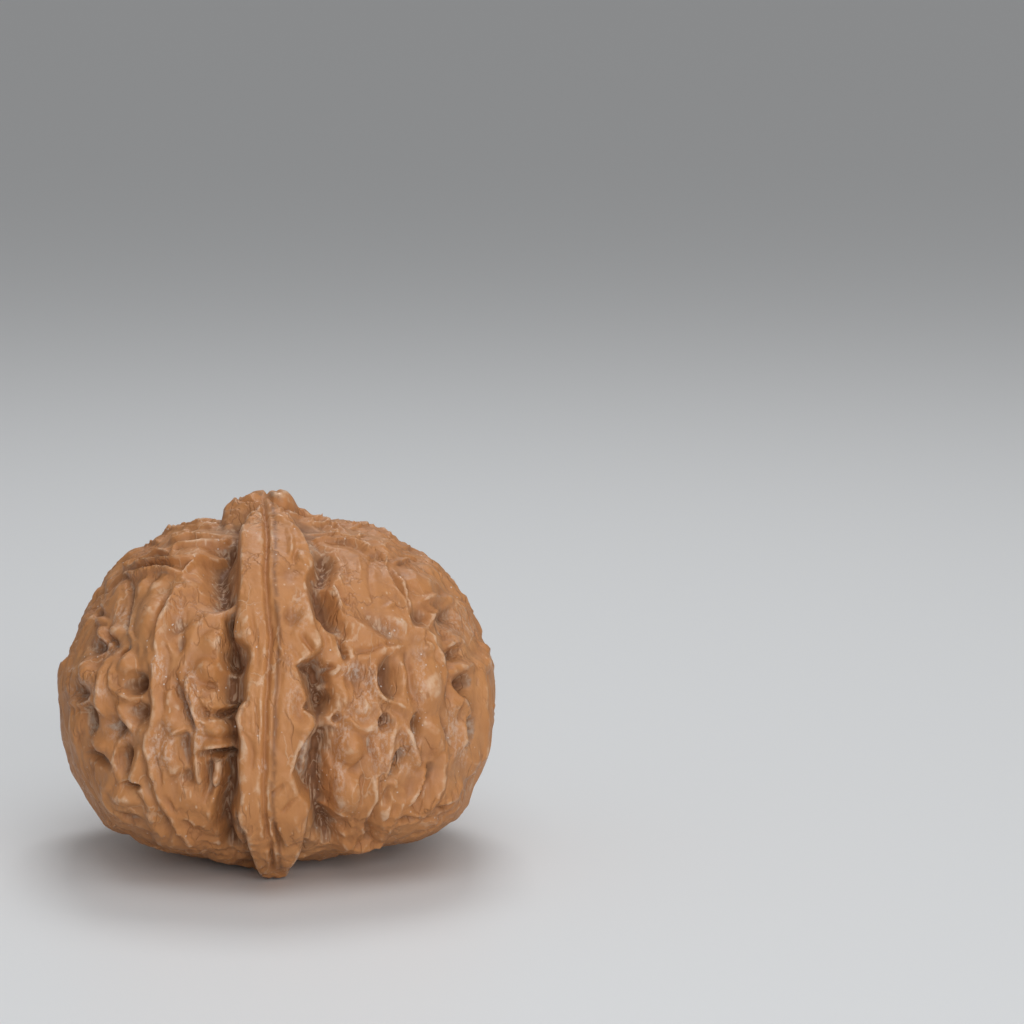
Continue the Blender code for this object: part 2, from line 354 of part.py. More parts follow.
KEEL_LINES = [
    (-0.3, 0.35, 0.0, [(-1.3, 23.0), (-1.15, 21.0), (-1.0, 19.0), (-0.95, 17.0)]),
    (-0.25, 0.3, 0.0, [(-1.0, 15.4), (-0.95, 13.0), (-1.1, 10.8)]),
    (-0.3, 0.4, 0.0, [(0.5, 24.2), (0.6, 22.0), (0.8, 20.0), (1.3, 18.7), (1.45, 17.6),
                      (1.3, 15.6), (0.9, 13.0), (0.8, 11.0), (0.7, 9.4)]),
    (0.3, 0.5, 0.0, [(1.0, 21.4), (1.15, 19.8), (1.7, 18.6)]),
    (-0.8, 0.5, 0.0, [(3.1, 20.7), (3.8, 19.7), (4.3, 19.0), (4.7, 18.4)]),
    (1.1, 0.8, 0.0, [(4.3, 21.6), (5.3, 20.6), (6.0, 19.7), (6.5, 18.6)]),
    (-0.4, 0.4, 0.0, [(1.2, 3.2), (2.0, 4.4), (2.8, 4.9)]),
    (-0.6, 0.4, 0.0, [(0.5, 2.2), (0.8, 0.9), (1.4, -0.4)]),
    (-0.4, 0.25, 0.0, [(0.2, 1.0), (0.2, -0.4), (0.5, -1.6)]),
    (0.3, 0.25, 0.0, [(-0.1, 1.2), (-0.1, -0.4), (0.1, -1.8)]),
    (-0.3, 0.4, 0.0, [(-1.7, 10.4), (-1.6, 9.2), (-1.9, 7.6)]),
    (-0.3, 0.4, 0.0, [(1.4, 6.2), (0.7, 5.6), (0.2, 5.0)]),
]
KEEL_SPOTS = [
    (-0.5, 2.5, 22.0, 0.8, 1.1, 0.0),
    (-0.35, 2.3, 26.0, 1.3, 1.5, 0.0),
    (0.3, -1.4, 21.2, 1.2, 1.5, 0.0),
    (-0.5, 3.2, 13.2, 0.8, 1.5, 0.0),
    (0.35, 3.6, 11.7, 1.2, 0.9, 0.0),
    (0.35, 2.4, 1.8, 1.2, 1.9, -12.0),
    (0.3, 5.5, 19.0, 0.9, 1.2, 30.0),
    (0.3, 3.6, 27.6, 0.8, 1.0, 0.0),
]
# The tip's crown: how much of its height stands at each place across
CROWN = [
    (-4.8, 0.0), (-4.3, 0.32), (-3.9, 0.45), (-3.2, 0.6), (-2.2, 0.77), (-1.1, 0.9), (-0.3, 0.84),
    (0.4, 0.94), (1.3, 1.0), (1.9, 0.93), (2.5, 0.72), (3.4, 0.45), (4.4, 0.3), (5.4, 0.14), (6.4, 0.0),
]
# Folds of the tip's crown: height, half width, and turn and rise from the centre in degrees
CROWN_FOLDS = [
    (0.6, 0.8, [(-112, 75), (-114, 79), (-118, 84)]),
    (0.5, 0.8, [(112, 73), (115, 78), (118, 84)]),
    (-0.7, 0.6, [(-150, 74), (-154, 79), (-160, 85)]),
    (-0.6, 0.6, [(152, 72), (156, 78), (160, 84)]),
]
# Broad fullness and hollows of the body: height, across, up and reach both ways
SWELLS = [
    (-1.3, -18.0, 22.5, 8.0, 7.0), (-0.8, 19.5, 22.5, 5.0, 6.0), (-0.4, -19.5, 8.0, 6.0, 9.0),
    (-0.6, -13.0, 28.5, 5.0, 3.0), (-0.5, 16.0, 28.0, 5.0, 3.0), (0.8, 15.0, 3.0, 6.0, 4.5),
]
# Where the shell is smooth: across, up and the reach of each place
SMOOTH_PLACES = [
    (-9.5, 29.0, 6.5, 2.6), (9.5, 30.0, 7.0, 1.6), (8.8, 25.5, 3.6, 3.0), (12.2, 22.0, 1.3, 2.2),
    (0.0, 27.0, 3.0, 4.5), (15.3, 15.0, 1.6, 2.4), (-11.3, 22.3, 1.3, 2.2), (0.0, 18.0, 2.6, 6.0),
    (0.0, 8.0, 2.8, 6.0), (7.8, 9.4, 1.2, 1.7), (7.6, 5.0, 1.4, 2.1), (20.3, 12.0, 0.9, 6.0),
    (-6.5, 23.6, 2.0, 1.2), (-5.0, 18.5, 1.8, 2.0),
]
# Soft wrinkles all over: height (sharp crests where negative), length and seed
WRINKLES = [(0.34, 7.0, 41), (0.13, 3.6, 51), (-0.15, 2.1, 61)]


def spread(points, step=0.6):
    """Points along a smooth curve through the given ones, a small step apart."""
    given = np.array(points, float)
    ends = np.vstack([2 * given[0] - given[1], given, 2 * given[-1] - given[-2]])
    pieces = []
    for first, start, stop, last in zip(ends, ends[1:], ends[2:], ends[3:]):
        count = max(2, int(np.linalg.norm(stop - start) / step))
        u = np.linspace(0, 1, count, endpoint=False)[:, None]
        pieces.append(0.5 * (2 * start + (stop - first) * u
                             + (2 * first - 5 * start + 4 * stop - last) * u ** 2
                             + (3 * start - first - 3 * stop + last) * u ** 3))
    pieces.append(given[-1:])
    return np.vstack(pieces)


def ramp(value, low, high):
    """Rises smoothly from 0 at low to 1 at high."""
    t = np.clip((value - low) / (high - low), 0, 1)
    return t * t * (3 - 2 * t)


def waves(points, length, seed, count=26):
    """A smooth seeded field of about -1 to 1 that changes over the given length."""
    draw = np.random.default_rng(seed)
    ways = draw.normal(size=(count, 3))
    ways /= np.linalg.norm(ways, axis=1)[:, None]
    ways *= 2 * np.pi / (length * draw.uniform(0.75, 1.35, (count, 1)))
    return np.cos(points @ ways.T + draw.uniform(0, 2 * np.pi, count)).sum(axis=1) / np.sqrt(count)


def drift(points, length, reach, seed):
    """Moves points by a smooth seeded field."""
    return points + reach * np.stack([waves(points, length, seed + k) for k in range(3)], axis=1)


SIGHT_UP = np.array([0.0, sin(SIGHT_RISE), cos(SIGHT_RISE)])
SIGHT_OUT = np.array([0.0, -cos(SIGHT_RISE), sin(SIGHT_RISE)])
CENTRE = np.array([0.0, 0.0, CENTRE_HEIGHT])
SIGHT_POINT = CENTRE + SIGHT_DISTANCE * SIGHT_OUT


def seen(points):
    """Where points of the front face are seen: across and up, through the plane of the seam's foot."""
    ray = points - SIGHT_POINT
    along = -(SIGHT_POINT @ SIGHT_OUT) / (ray @ SIGHT_OUT)
    hit = SIGHT_POINT + ray * along[:, None]
    return hit[:, 0], hit @ SIGHT_UP


def norm_radius(ratios, power):
    return np.maximum((np.abs(ratios) ** power).sum(axis=1), 1e-12) ** (-1 / power)


def body_radius(way):
    """Distance from the centre to the bare body, along unit directions."""
    right = ramp(way[:, 0], -0.25, 0.25)
    width = BELLY_LEFT + (BELLY_RIGHT - BELLY_LEFT) * right
    height = np.where(way[:, 2] > 0, BODY_RISE, BODY_DROP)
    ratios = np.stack([way[:, 0] / width, way[:, 1] / BODY_DEPTH, way[:, 2] / height], axis=1)
    return norm_radius(ratios, BODY_FULLNESS)


def keel_radius(way):
    """Distance from the centre to the keel's edge, for the direction's place along the seam."""
    flat = way[:, 1:] / np.maximum(np.linalg.norm(way[:, 1:], axis=1), 1e-9)[:, None]
    upper = norm_radius(flat / [KEEL_DEPTH, KEEL_RISE], KEEL_FULLNESS_UP)
    lower = norm_radius(flat / [KEEL_DEPTH, KEEL_DROP], KEEL_FULLNESS_DOWN)
    return np.where(flat[:, 1] > 0, upper, lower)


def keel_share(points):
    """1 on the keel and 0 off it, with steep sides, by the keel's outline on the front and back."""
    share = np.zeros(len(points))
    for side, slope in ((-1, KEEL_EDGE), (1, KEEL_EDGE_BACK)):
        across, up = seen(points * [-side, -side, 1])
        soft = slope + TIP_SLOPE * ramp(up, 29.5, 34.0)
        left = np.interp(up, *zip(*KEEL_LEFT))
        right = np.interp(up, *zip(*KEEL_RIGHT))
        inside = ramp(across, left - 0.5 * soft, left + 0.5 * soft)
        inside *= 1 - ramp(across, right - 0.5 * soft, right + 0.5 * soft)
        share = np.maximum(share, inside * ramp(side * points[:, 1], -1.5, 0.5))
    return share


def crown_share(points):
    """1 on the tip's broad crown, steep on the left and gently sloped on the right."""
    x, y, z = points.T
    along = ramp(y, *CROWN_FRONT) * (1 - ramp(y, *CROWN_BACK))
    return np.interp(x, *zip(*CROWN)) * along * (z > CENTRE_HEIGHT)


def swell(points):
    """Broad fullness and hollows of the body on one face."""
    across, up = seen(points)
    total = np.zeros(len(points))
    for height, middle, level, wide, tall in SWELLS:
        inside = ((across - middle) / wide) ** 2 + ((up - level) / tall) ** 2
        total += height * (1 - ramp(inside, 0.0, 1.0))
    return total


def skin(way):
    """The shell's surface without its relief, for unit directions from the centre."""
    body = body_radius(way)
    body += swell(CENTRE + way * body[:, None])
    keel = keel_radius(way)
    crest = CENTRE + way * np.clip(keel, body, body + KEEL_REACH)[:, None]
    rise = np.maximum(keel - body, 0) * np.maximum(keel_share(crest), crown_share(crest))
    rise *= 1 - ramp(-way[:, 2], 0.90, 0.98)
    return CENTRE + way * (body + rise)[:, None]


def lift(places):
    """The points of the bare shell that are seen at the given places, across and up."""
    places = np.array(places, float)
    aim = places[:, :1] * np.array([1.0, 0, 0]) + places[:, 1:] * SIGHT_UP - SIGHT_POINT
    aim /= np.linalg.norm(aim, axis=1)[:, None]
    nearest, farthest, tries = SIGHT_DEPTHS
    depths = SIGHT_DISTANCE + np.linspace(nearest, farthest, tries)
    spots = SIGHT_POINT + aim[:, None, :] * depths[None, :, None]
    out = spots - CENTRE
    far = np.linalg.norm(out, axis=2)
    surface = skin((out / far[:, :, None]).reshape(-1, 3))
    gap = far - np.linalg.norm(surface - CENTRE, axis=1).reshape(far.shape)
    met = (gap < 0).any(axis=1)
    first = np.where(met, (gap < 0).argmax(axis=1), gap.argmin(axis=1))
    rows = np.arange(len(places))
    before = np.maximum(first - 1, 0)
    back = np.where(met, gap[rows, first] / (gap[rows, first] - gap[rows, before] - 1e-9), 0)
    best = out[rows, first] * (1 - back[:, None]) + out[rows, before] * back[:, None]
    best /= np.linalg.norm(best, axis=1)[:, None]
    return skin(best)


def wrap(places):
    """The points of the bare shell at the given turns around and up from the centre, in degrees."""
    turn, rise = np.radians(np.array(places, float)).T
    return skin(np.stack([np.sin(turn) * np.cos(rise), -np.cos(turn) * np.cos(rise), np.sin(rise)], 1))


def line_share(points, path, half_width, lean):
    """0 off a line and 1 on it, for the points near it."""
    reach = half_width * (1 + abs(lean))
    low, high = path.min(axis=0) - reach, path.max(axis=0) + reach
    near = np.nonzero(((points > low) & (points < high)).all(axis=1))[0]
    if len(near) == 0:
        return near, np.zeros(0)
    spot = points[near]
    start, run = path[:-1], path[1:] - path[:-1]
    length = np.linalg.norm(run, axis=1)
    offset = spot[:, None, :] - start[None]
    along = np.clip((offset * run).sum(axis=2) / np.maximum(length ** 2, 1e-9), 0, 1)
    away = offset - along[:, :, None] * run[None]
    distance = np.linalg.norm(away, axis=2)
    best = distance.argmin(axis=1)
    rows = np.arange(len(near))
    miss = away[rows, best]
    side = np.sign((np.cross(run[best], spot - CENTRE) * miss).sum(axis=1)) * -1
    t = np.clip(distance[rows, best] / (half_width * (1 + lean * side)), 0, 1)
    before = np.concatenate([[0], np.cumsum(length)])
    travelled = before[best] + along[rows, best] * length[best]
    end = min(1.6, before[-1] / 3)
    fade = ramp(np.minimum(travelled, before[-1] - travelled), -0.4 * end, end)
    crest = (1 - t) ** 1.5 if lean else (1 - t * t) ** 2
    return near, crest * fade


def facing(middle):
    """Unit ways out of, across and up the surface at a point of it."""
    out = (middle - CENTRE) / np.linalg.norm(middle - CENTRE)
    side = np.cross([0, 0, 1.0], out)
    side /= max(np.linalg.norm(side), 1e-6)
    return out, side, np.cross(out, side)


def spot_share(points, middle, reach_across, reach_up, tilt):
    """0 outside a round place of the surface and 1 in its middle."""
    _, side, rise = facing(middle)
    turn = radians(tilt)
    reach_across *= SPOT_BREADTH
    reach_up *= SPOT_BREADTH
    near = np.nonzero(np.linalg.norm(points - middle, axis=1) < 1.2 * max(reach_across, reach_up))[0]
    away = points[near] - middle
    right, high = away @ side, away @ rise
    u = (right * cos(turn) + high * sin(turn)) / reach_across
    v = (high * cos(turn) - right * sin(turn)) / reach_up
    return near, np.clip(1 - (u * u + v * v), 0, 1) ** 2


def relief(points, lines, spots):
    """How far the surface rises or sinks where the lines and spots run."""
    raised = np.zeros(len(points))
    sunk = np.zeros(len(points))
    made = []
    for height, width, lean, path in lines:
        if height > 0:
            height *= PLATE_RISE if lean else LINE_RISE
            width *= 1 if lean else LINE_BREADTH
        made.append((height, line_share(points, path, width, lean)))
    made += [(SPOT_RISE * height, spot_share(points, *place)) for height, *place in spots]
    for height, (near, share) in made:
        into = raised if height > 0 else sunk
        into[near] += (abs(height) * share) ** BLEND_POWER
    return raised ** (1 / BLEND_POWER) - sunk ** (1 / BLEND_POWER)


def front_relief():
    """The front face's lines and spots, on the bare shell."""
    groups = [TIP_LINES, LEFT_SHOULDER_LINES, LEFT_LINES, RIGHT_SHOULDER_LINES, RIGHT_LINES, KEEL_LINES]
    lines = [(height, width, lean, lift(spread(line)))
             for group in groups for height, width, lean, line in group]
    spots = []
    for height, across, up, reach_across, reach_up, tilt in LEFT_SPOTS + RIGHT_SPOTS + KEEL_SPOTS:
        middle = lift([(across, up)])[0]
        out, side, rise = facing(middle)
        reach_across /= max(0.45, abs(side[0]))
        reach_up /= max(0.45, np.linalg.norm(SIGHT_UP - (SIGHT_UP @ out) * out))
        spots.append((height, middle, reach_across, reach_up, tilt))
    return lines, spots


def crown_relief():
    """Folds that run down from the tip."""
    return [(height, width, 0.0, wrap(spread(fold, WRAP_STEP))) for height, width, fold in CROWN_FOLDS], []


def flank_relief(draw):
    """Seeded ribs that run up and down both flanks, with creases and pits between them."""
    lines, spots = [], []
    for side in (1, -1):
        around, last = FLANK_TURNS
        while around < last:
            rises = np.linspace(*FLANK_RISES, RIB_POINTS)
            sway = np.cumsum(draw.normal(0, RIB_SWAY, RIB_POINTS))
            rib = [(side * (around + turn), rise) for turn, rise in zip(sway - sway.mean(), rises)]
            start, stop = draw.integers(0, 3), draw.integers(RIB_POINTS - 3, RIB_POINTS + 1)
            lines.append((draw.uniform(*RIB_HEIGHTS), draw.uniform(*RIB_WIDTHS), 0.0,
                          wrap(spread(rib[start:stop], WRAP_STEP))))
            gap = draw.uniform(*RIB_GAPS)
            for rise in np.linspace(-40, 41, RIB_POINTS) + draw.uniform(-3, 3, RIB_POINTS):
                middle = wrap([(side * (around + 0.5 * gap + draw.normal(0, 1)), rise)])[0]
                height = draw.choice(PIT_HEIGHTS)
                spots.append((height, middle, draw.uniform(*PIT_WIDTHS), draw.uniform(*PIT_TALLS),
                              draw.uniform(-PIT_TILT, PIT_TILT)))
                if draw.uniform() < BRIDGE_CHANCE:
                    ends = [(side * (around + 0.5), rise + 4), (side * (around + gap), rise + 7)]
                    lines.append((draw.uniform(*BRIDGE_HEIGHTS), 0.8, 0.0, wrap(spread(ends, WRAP_STEP))))
            around += gap
    return lines, spots


def sole_relief():
    """The stalk's scar under the shell, with its rim, its ribs and the lumps that it rests on."""
    spots = [(-SCAR_DEPTH, wrap([(0, -90)])[0], *SCAR_REACHES, 0.0)]
    for turn in SOLE_LUMPS:
        spots.append((SOLE_LUMP_HEIGHT, wrap([(turn, SOLE_LUMP_RISE)])[0], *SOLE_LUMP_REACHES, 0.0))
    rim = [(turn, -90 + SCAR_RIM + 2 * sin(radians(3 * turn))) for turn in range(0, 361, 20)]
    lines = [(0.5, 1.0, 0.0, wrap(rim))]
    for k in range(SOLE_RIBS):
        turn = (k + 0.5) * 360 / SOLE_RIBS
        rib = spread([(turn, -70), (turn + 3, -60), (turn - 2, -48)], WRAP_STEP)
        lines.append((0.5 if k % 2 else -0.4, 0.9, 0.0, wrap(rib)))
    return lines, spots


def calm_share(base):
    """1 on the wrinkled shell and less on the smooth places of the front."""
    calm = np.ones(len(base))
    across, up = seen(base)
    for middle, level, wide, tall in SMOOTH_PLACES:
        inside = ((across - middle) / wide) ** 2 + ((up - level) / tall) ** 2
        calm *= 1 - SMOOTH_CALM * (1 - ramp(inside, 0.4, 1.4)) * (base[:, 1] < 0)
    return calm


def surface(way, front):
    """The finished shell's points, for unit directions from the centre."""
    base = skin(way)
    draw = np.random.default_rng(GRAIN_SEED)
    lines, spots = front
    height = relief(drift(base, 4.5, 0.16, GRAIN_SEED), lines, spots)

    # The back has the same kinds of line and spot, moved about and of other heights
    behind = drift(drift(base * [-1, -1, 1], 13.0, BACK_DRIFT, GRAIN_SEED + 20), 4.5, 0.2, GRAIN_SEED)
    varied = [[(draw.uniform(*BACK_SHARES) * height_of, *rest) for height_of, *rest in group]
              for group in (lines, spots)]
    height += relief(behind, *varied)
    height += relief(base, *crown_relief())
    height += relief(drift(base, 5.0, 0.35, GRAIN_SEED + 40), *flank_relief(draw))
    height += relief(drift(base, 5.0, 0.35, GRAIN_SEED + 50), *sole_relief())

    # The seam's narrow groove runs right round
    seam = lift(spread(SEAM))
    for place in (drift(base, 3, 0.05, 3), drift(base * [-1, -1, 1], 7, 0.25, 5)):
        near, share = line_share(place, seam, SEAM_WIDTH, 0.0)
        height[near] -= SEAM_DEPTH * share

    # Soft wrinkles that run up and down, calmer on the smooth places
    calm = calm_share(base)
    upright = drift(base, 6.0, 0.8, 31) * [1, 1, 0.5]
    for rise, length, seed in WRINKLES:
        height += calm * rise * (np.abs(waves(upright, length, seed)) - 0.5)

    # The rims of the halves, handled most, are the smoothest
    out = base - CENTRE
    radius = np.linalg.norm(out, axis=1)
    out /= radius[:, None]
    rim = (1 - ramp(np.abs(out @ SIGHT_OUT), 0.15, 0.5)) * ramp(np.abs(out[:, 0]), 0.25, 0.5)
    radius += height * (1 - RIM_CALM * rim)
    return CENTRE + way * radius[:, None]


def ball(steps):
    """Unit directions over a ball and the four-sided faces that join them, from a cube's six faces."""
    turn = np.tan(np.linspace(-np.pi / 4, np.pi / 4, steps + 1))
    u, v = (grid.ravel() for grid in np.meshgrid(turn, turn, indexing="ij"))
    one = np.ones_like(u)
    sides = [(one, u, v), (-one, v, u), (v, one, u), (u, -one, v), (u, v, one), (v, u, -one)]
    points = np.vstack([np.stack(side, axis=1) for side in sides])
    points /= np.linalg.norm(points, axis=1)[:, None]
    corner = np.arange(steps)[:, None] * (steps + 1) + np.arange(steps)[None]
    a, b, c, d = corner, corner + steps + 1, corner + steps + 2, corner + 1
    tile = np.stack([a, b, c, d], axis=-1).reshape(-1, 4)
    faces = np.vstack([tile + k * (steps + 1) ** 2 for k in range(6)])
    _, first, same = np.unique(np.round(points, 6), axis=0, return_index=True, return_inverse=True)
    return points[first], same.ravel()[faces]


def halved(points, quads):
    """Two triangles for each four-sided face, split along its shorter diagonal."""
    a, b, c, d = quads.T
    split = np.linalg.norm(points[a] - points[c], axis=1) < np.linalg.norm(points[b] - points[d], axis=1)
    near = np.where(split[:, None], np.stack([a, b, c], 1), np.stack([a, b, d], 1))
    far = np.where(split[:, None], np.stack([a, c, d], 1), np.stack([b, c, d], 1))
    return np.vstack([near, far])


def dense_shell(steps):
    """The shell as a fine closed mesh, in millimetres, cut flat where it rests at height 0."""
    way, quads = ball(steps)
    points = surface(way, front_relief())
    points[:, 2] = np.maximum(points[:, 2], 0)
    return points, halved(points, quads)


def recentre(points):
    """Puts the middle of the shell's footprint over the origin."""
    low, high = points.min(axis=0), points.max(axis=0)
    return points - [(low[0] + high[0]) / 2, (low[1] + high[1]) / 2, 0]


def make_mesh(name, points, faces):
    mesh = bpy.data.meshes.new(name)
    mesh.from_pydata((points * MM).tolist(), [], faces.tolist())
    mesh.update()
    return mesh


def simplified(points, faces, triangles):
    """The same shell with few triangles, placed where the relief needs them."""
    holder = bpy.data.objects.new("fine_shell", make_mesh("fine_shell", points, faces))
    bpy.context.collection.objects.link(holder)
    fewer = holder.modifiers.new("fewer", "DECIMATE")
    fewer.ratio = triangles / len(faces)
    fewer.use_collapse_triangulate = True
    ready = holder.evaluated_get(bpy.context.evaluated_depsgraph_get())
    mesh = bpy.data.meshes.new_from_object(ready)
    bpy.data.objects.remove(holder)
    return mesh


def shell_material():
    material = bpy.data.materials.new("shell")
    material.use_nodes = True
    finish = material.node_tree.nodes["Principled BSDF"]
    finish.inputs["Base Color"].default_value = SHELL_COLOUR
    finish.inputs["Roughness"].default_value = SHELL_ROUGHNESS
    finish.inputs["Metallic"].default_value = 0.0
    return material


def make_walnut():
    points, faces = dense_shell(DENSE_STEPS)
    mesh = simplified(recentre(points), faces, TRIANGLES)
    for vertex in mesh.vertices:
        if vertex.co.z < 0.02 * MM:
            vertex.co.z = 0.0
    mesh.name = "walnut"
    mesh.shade_smooth()
    mesh.materials.append(shell_material())
    walnut = bpy.data.objects.new("walnut", mesh)
    bpy.context.collection.objects.link(walnut)
    return walnut


def main():
    for old in list(bpy.data.objects):
        bpy.data.objects.remove(old)
    make_walnut()


main()
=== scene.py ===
from math import cos, radians, sin

import bpy
import numpy as np
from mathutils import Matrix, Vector


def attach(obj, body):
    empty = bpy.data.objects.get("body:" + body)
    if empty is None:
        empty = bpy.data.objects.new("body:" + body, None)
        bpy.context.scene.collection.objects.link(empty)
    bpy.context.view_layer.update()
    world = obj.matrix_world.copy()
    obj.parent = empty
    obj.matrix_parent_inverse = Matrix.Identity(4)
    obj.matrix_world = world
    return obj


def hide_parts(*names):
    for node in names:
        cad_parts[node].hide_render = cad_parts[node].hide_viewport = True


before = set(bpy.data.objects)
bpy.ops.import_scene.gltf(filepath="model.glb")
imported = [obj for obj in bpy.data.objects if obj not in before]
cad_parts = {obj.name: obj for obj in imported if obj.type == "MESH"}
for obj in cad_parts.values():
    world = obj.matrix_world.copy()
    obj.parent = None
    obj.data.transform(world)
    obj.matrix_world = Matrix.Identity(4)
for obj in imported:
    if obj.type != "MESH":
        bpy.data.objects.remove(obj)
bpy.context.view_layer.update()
print("frame loaded")

mm = 0.001

# A wenwan walnut, polished by handling: two halves grown together along a thick seam.
# The shell is a rounded body and keel, with its wrinkles raised and sunk along listed lines.
nut = {
    "centreHeight": 14.6,  # mm, as all lengths here
    "bellyLeft": 19.7,  # the left half is the slimmer one
    "bellyRight": 21.25,
    "bodyDepth": 20.0,
    "bodyRise": 16.4,
    "bodyDrop": 14.3,
    "bodyFullness": 2.55,
    "keelDepth": 22.7,  # the seam's thick edge
    "keelRise": 19.6,
    "keelDrop": 15.3,
    "keelEdge": 1.0,
    "keelEdgeBack": 2.4,
    "tipSlope": 1.4,
    "tipHeights": (29.5, 34.0),
    "keelFullnessUp": 2.05,
    "keelFullnessDown": 2.75,
    "keelReach": 4.0,
    "crownFront": (-3.4, -0.2),
    "crownBack": (1.6, 5.5),
    "seamWidth": 0.42,  # groove between the halves
    "seamDepth": 0.55,
    "lineRise": 0.82,
    "lineBreadth": 1.4,
    "plateRise": 1.25,
    "spotRise": 1.25,
    "spotBreadth": 1.25,
    "blendPower": 2.5,
    "rimCalm": 0.5,
    "smoothCalm": 0.8,
    "lineDrift": (4.5, 0.16),  # how long and how far the lines sway
    "backShares": (0.4, 1.2),  # how high the back's lines are beside the front's
    "backSpan": 13.0,
    "backDrift": 1.6,
    "backLineDrift": (4.5, 0.2),
    "flankDrift": (5.0, 0.35),
    "flankTurns": (70.0, 118.0),
    "flankRises": (-52, 50),
    "ribGaps": (8.0, 12.0),
    "ribSway": 1.9,
    "ribPoints": 10,
    "ribHeights": (0.4, 0.75),
    "ribWidths": (1.1, 1.5),
    "bridgeHeights": (0.4, 0.7),
    "bridgeWidth": 0.8,
    "bridgeChance": 0.35,
    "pitRises": (-40, 41),
    "pitSway": 3,
    "pitHeights": (-1.4, -1.0, -0.7, 0.5),
    "pitWidths": (0.8, 1.5),
    "pitTalls": (1.0, 2.1),
    "pitTilt": 25,
    "scarDepth": 1.6,
    "scarReaches": (3.0, 3.8),
    "scarRim": 17,
    "soleRibs": 16,
    "soleLumps": (82, -76, 112, -108),
    "soleLumpRise": -60,
    "soleLumpHeight": 1.5,
    "soleLumpReaches": (3.0, 2.6),
    "sightDistance": 450.0,  # where the front's lines are seen from
    "sightRise": radians(11.0),
    "sightDepths": (-32, 18, 110),
    "grainSeed": 7,
    "wrapStep": 1.2,
    "steps": 190,  # points along a cube side of the fine shell
    "triangles": 190000,
    "poreCount": 260,
    "poreDepth": 0.06,
    "poreReach": 0.3,
    "poreSpan": 0.9996,  # cosine of the widest angle from a pore's middle
    "edgeWidth": 0.3,
    "edgeHeight": 0.21,
    "creaseHeight": 0.08,
    "ledgeStep": 1.7,
    "ledgeWidth": 0.24,  # as a share of the step
    "ledgeHeight": 0.24,
    "seamInk": 0.3,
    "nearBlur": 10,  # how often the mesh is smoothed before its crests are read
    "wideBlur": 220,
    "nearHeight": 0.16,
    "wideHeight": 0.8,
}

# The keel's two edges on the front face: how far across it is at each height
keelLeft = [
    (-3, -0.6), (-2.2, -1.3), (-1.4, -1.8), (-0.6, -2.1), (0.5, -2.3), (1.4, -2.5), (2.2, -3), (3, -3.2),
    (5, -2.9), (6, -3), (8, -3.1), (10, -2.9), (11.3, -3.1), (12.3, -3.3), (13.5, -2.9), (14.2, -2.3),
    (16.5, -2.2), (18.3, -1.8), (19.3, -2), (20.4, -3.2), (21, -3.4), (23, -2.9), (26, -2.75), (28, -2.8),
    (29.5, -2.8), (31, -2.8), (32, -2.3), (33, -1.3), (33.8, -0.6),
]
keelRight = [
    (-3, 1.2), (-2.2, 2.1), (-1.4, 2.8), (-0.6, 3.3), (0.5, 3.6), (1.5, 3.8), (2.5, 4), (3.5, 4.3),
    (4, 4.2), (5, 3.3), (7, 2.6), (8, 2.9), (9, 3.2), (10.4, 4), (11.7, 4.8), (12.4, 4.7), (13.2, 3.7),
    (14.2, 4), (15.9, 3.5), (17.4, 3), (18, 3.9), (18.7, 5), (19.4, 5.3), (20.2, 5.2), (21.5, 4.6),
    (23, 4.4), (25.6, 4), (26.3, 4.2), (27.2, 4.7), (28, 4.7), (30, 3.9), (31, 3.3), (32, 2.6), (33, 1.6),
    (33.8, 0.6),
]
seamLine = [
    (-0.3, 33.5), (0, 31), (0, 29), (-0.1, 27), (-0.1, 25.5), (0.05, 23.5), (0.2, 21.5), (0.3, 19.5),
    (0.1, 17), (-0.1, 13.5), (-0.3, 10), (-0.45, 6), (-0.3, 3), (0, 0), (0.3, -2.2),
]

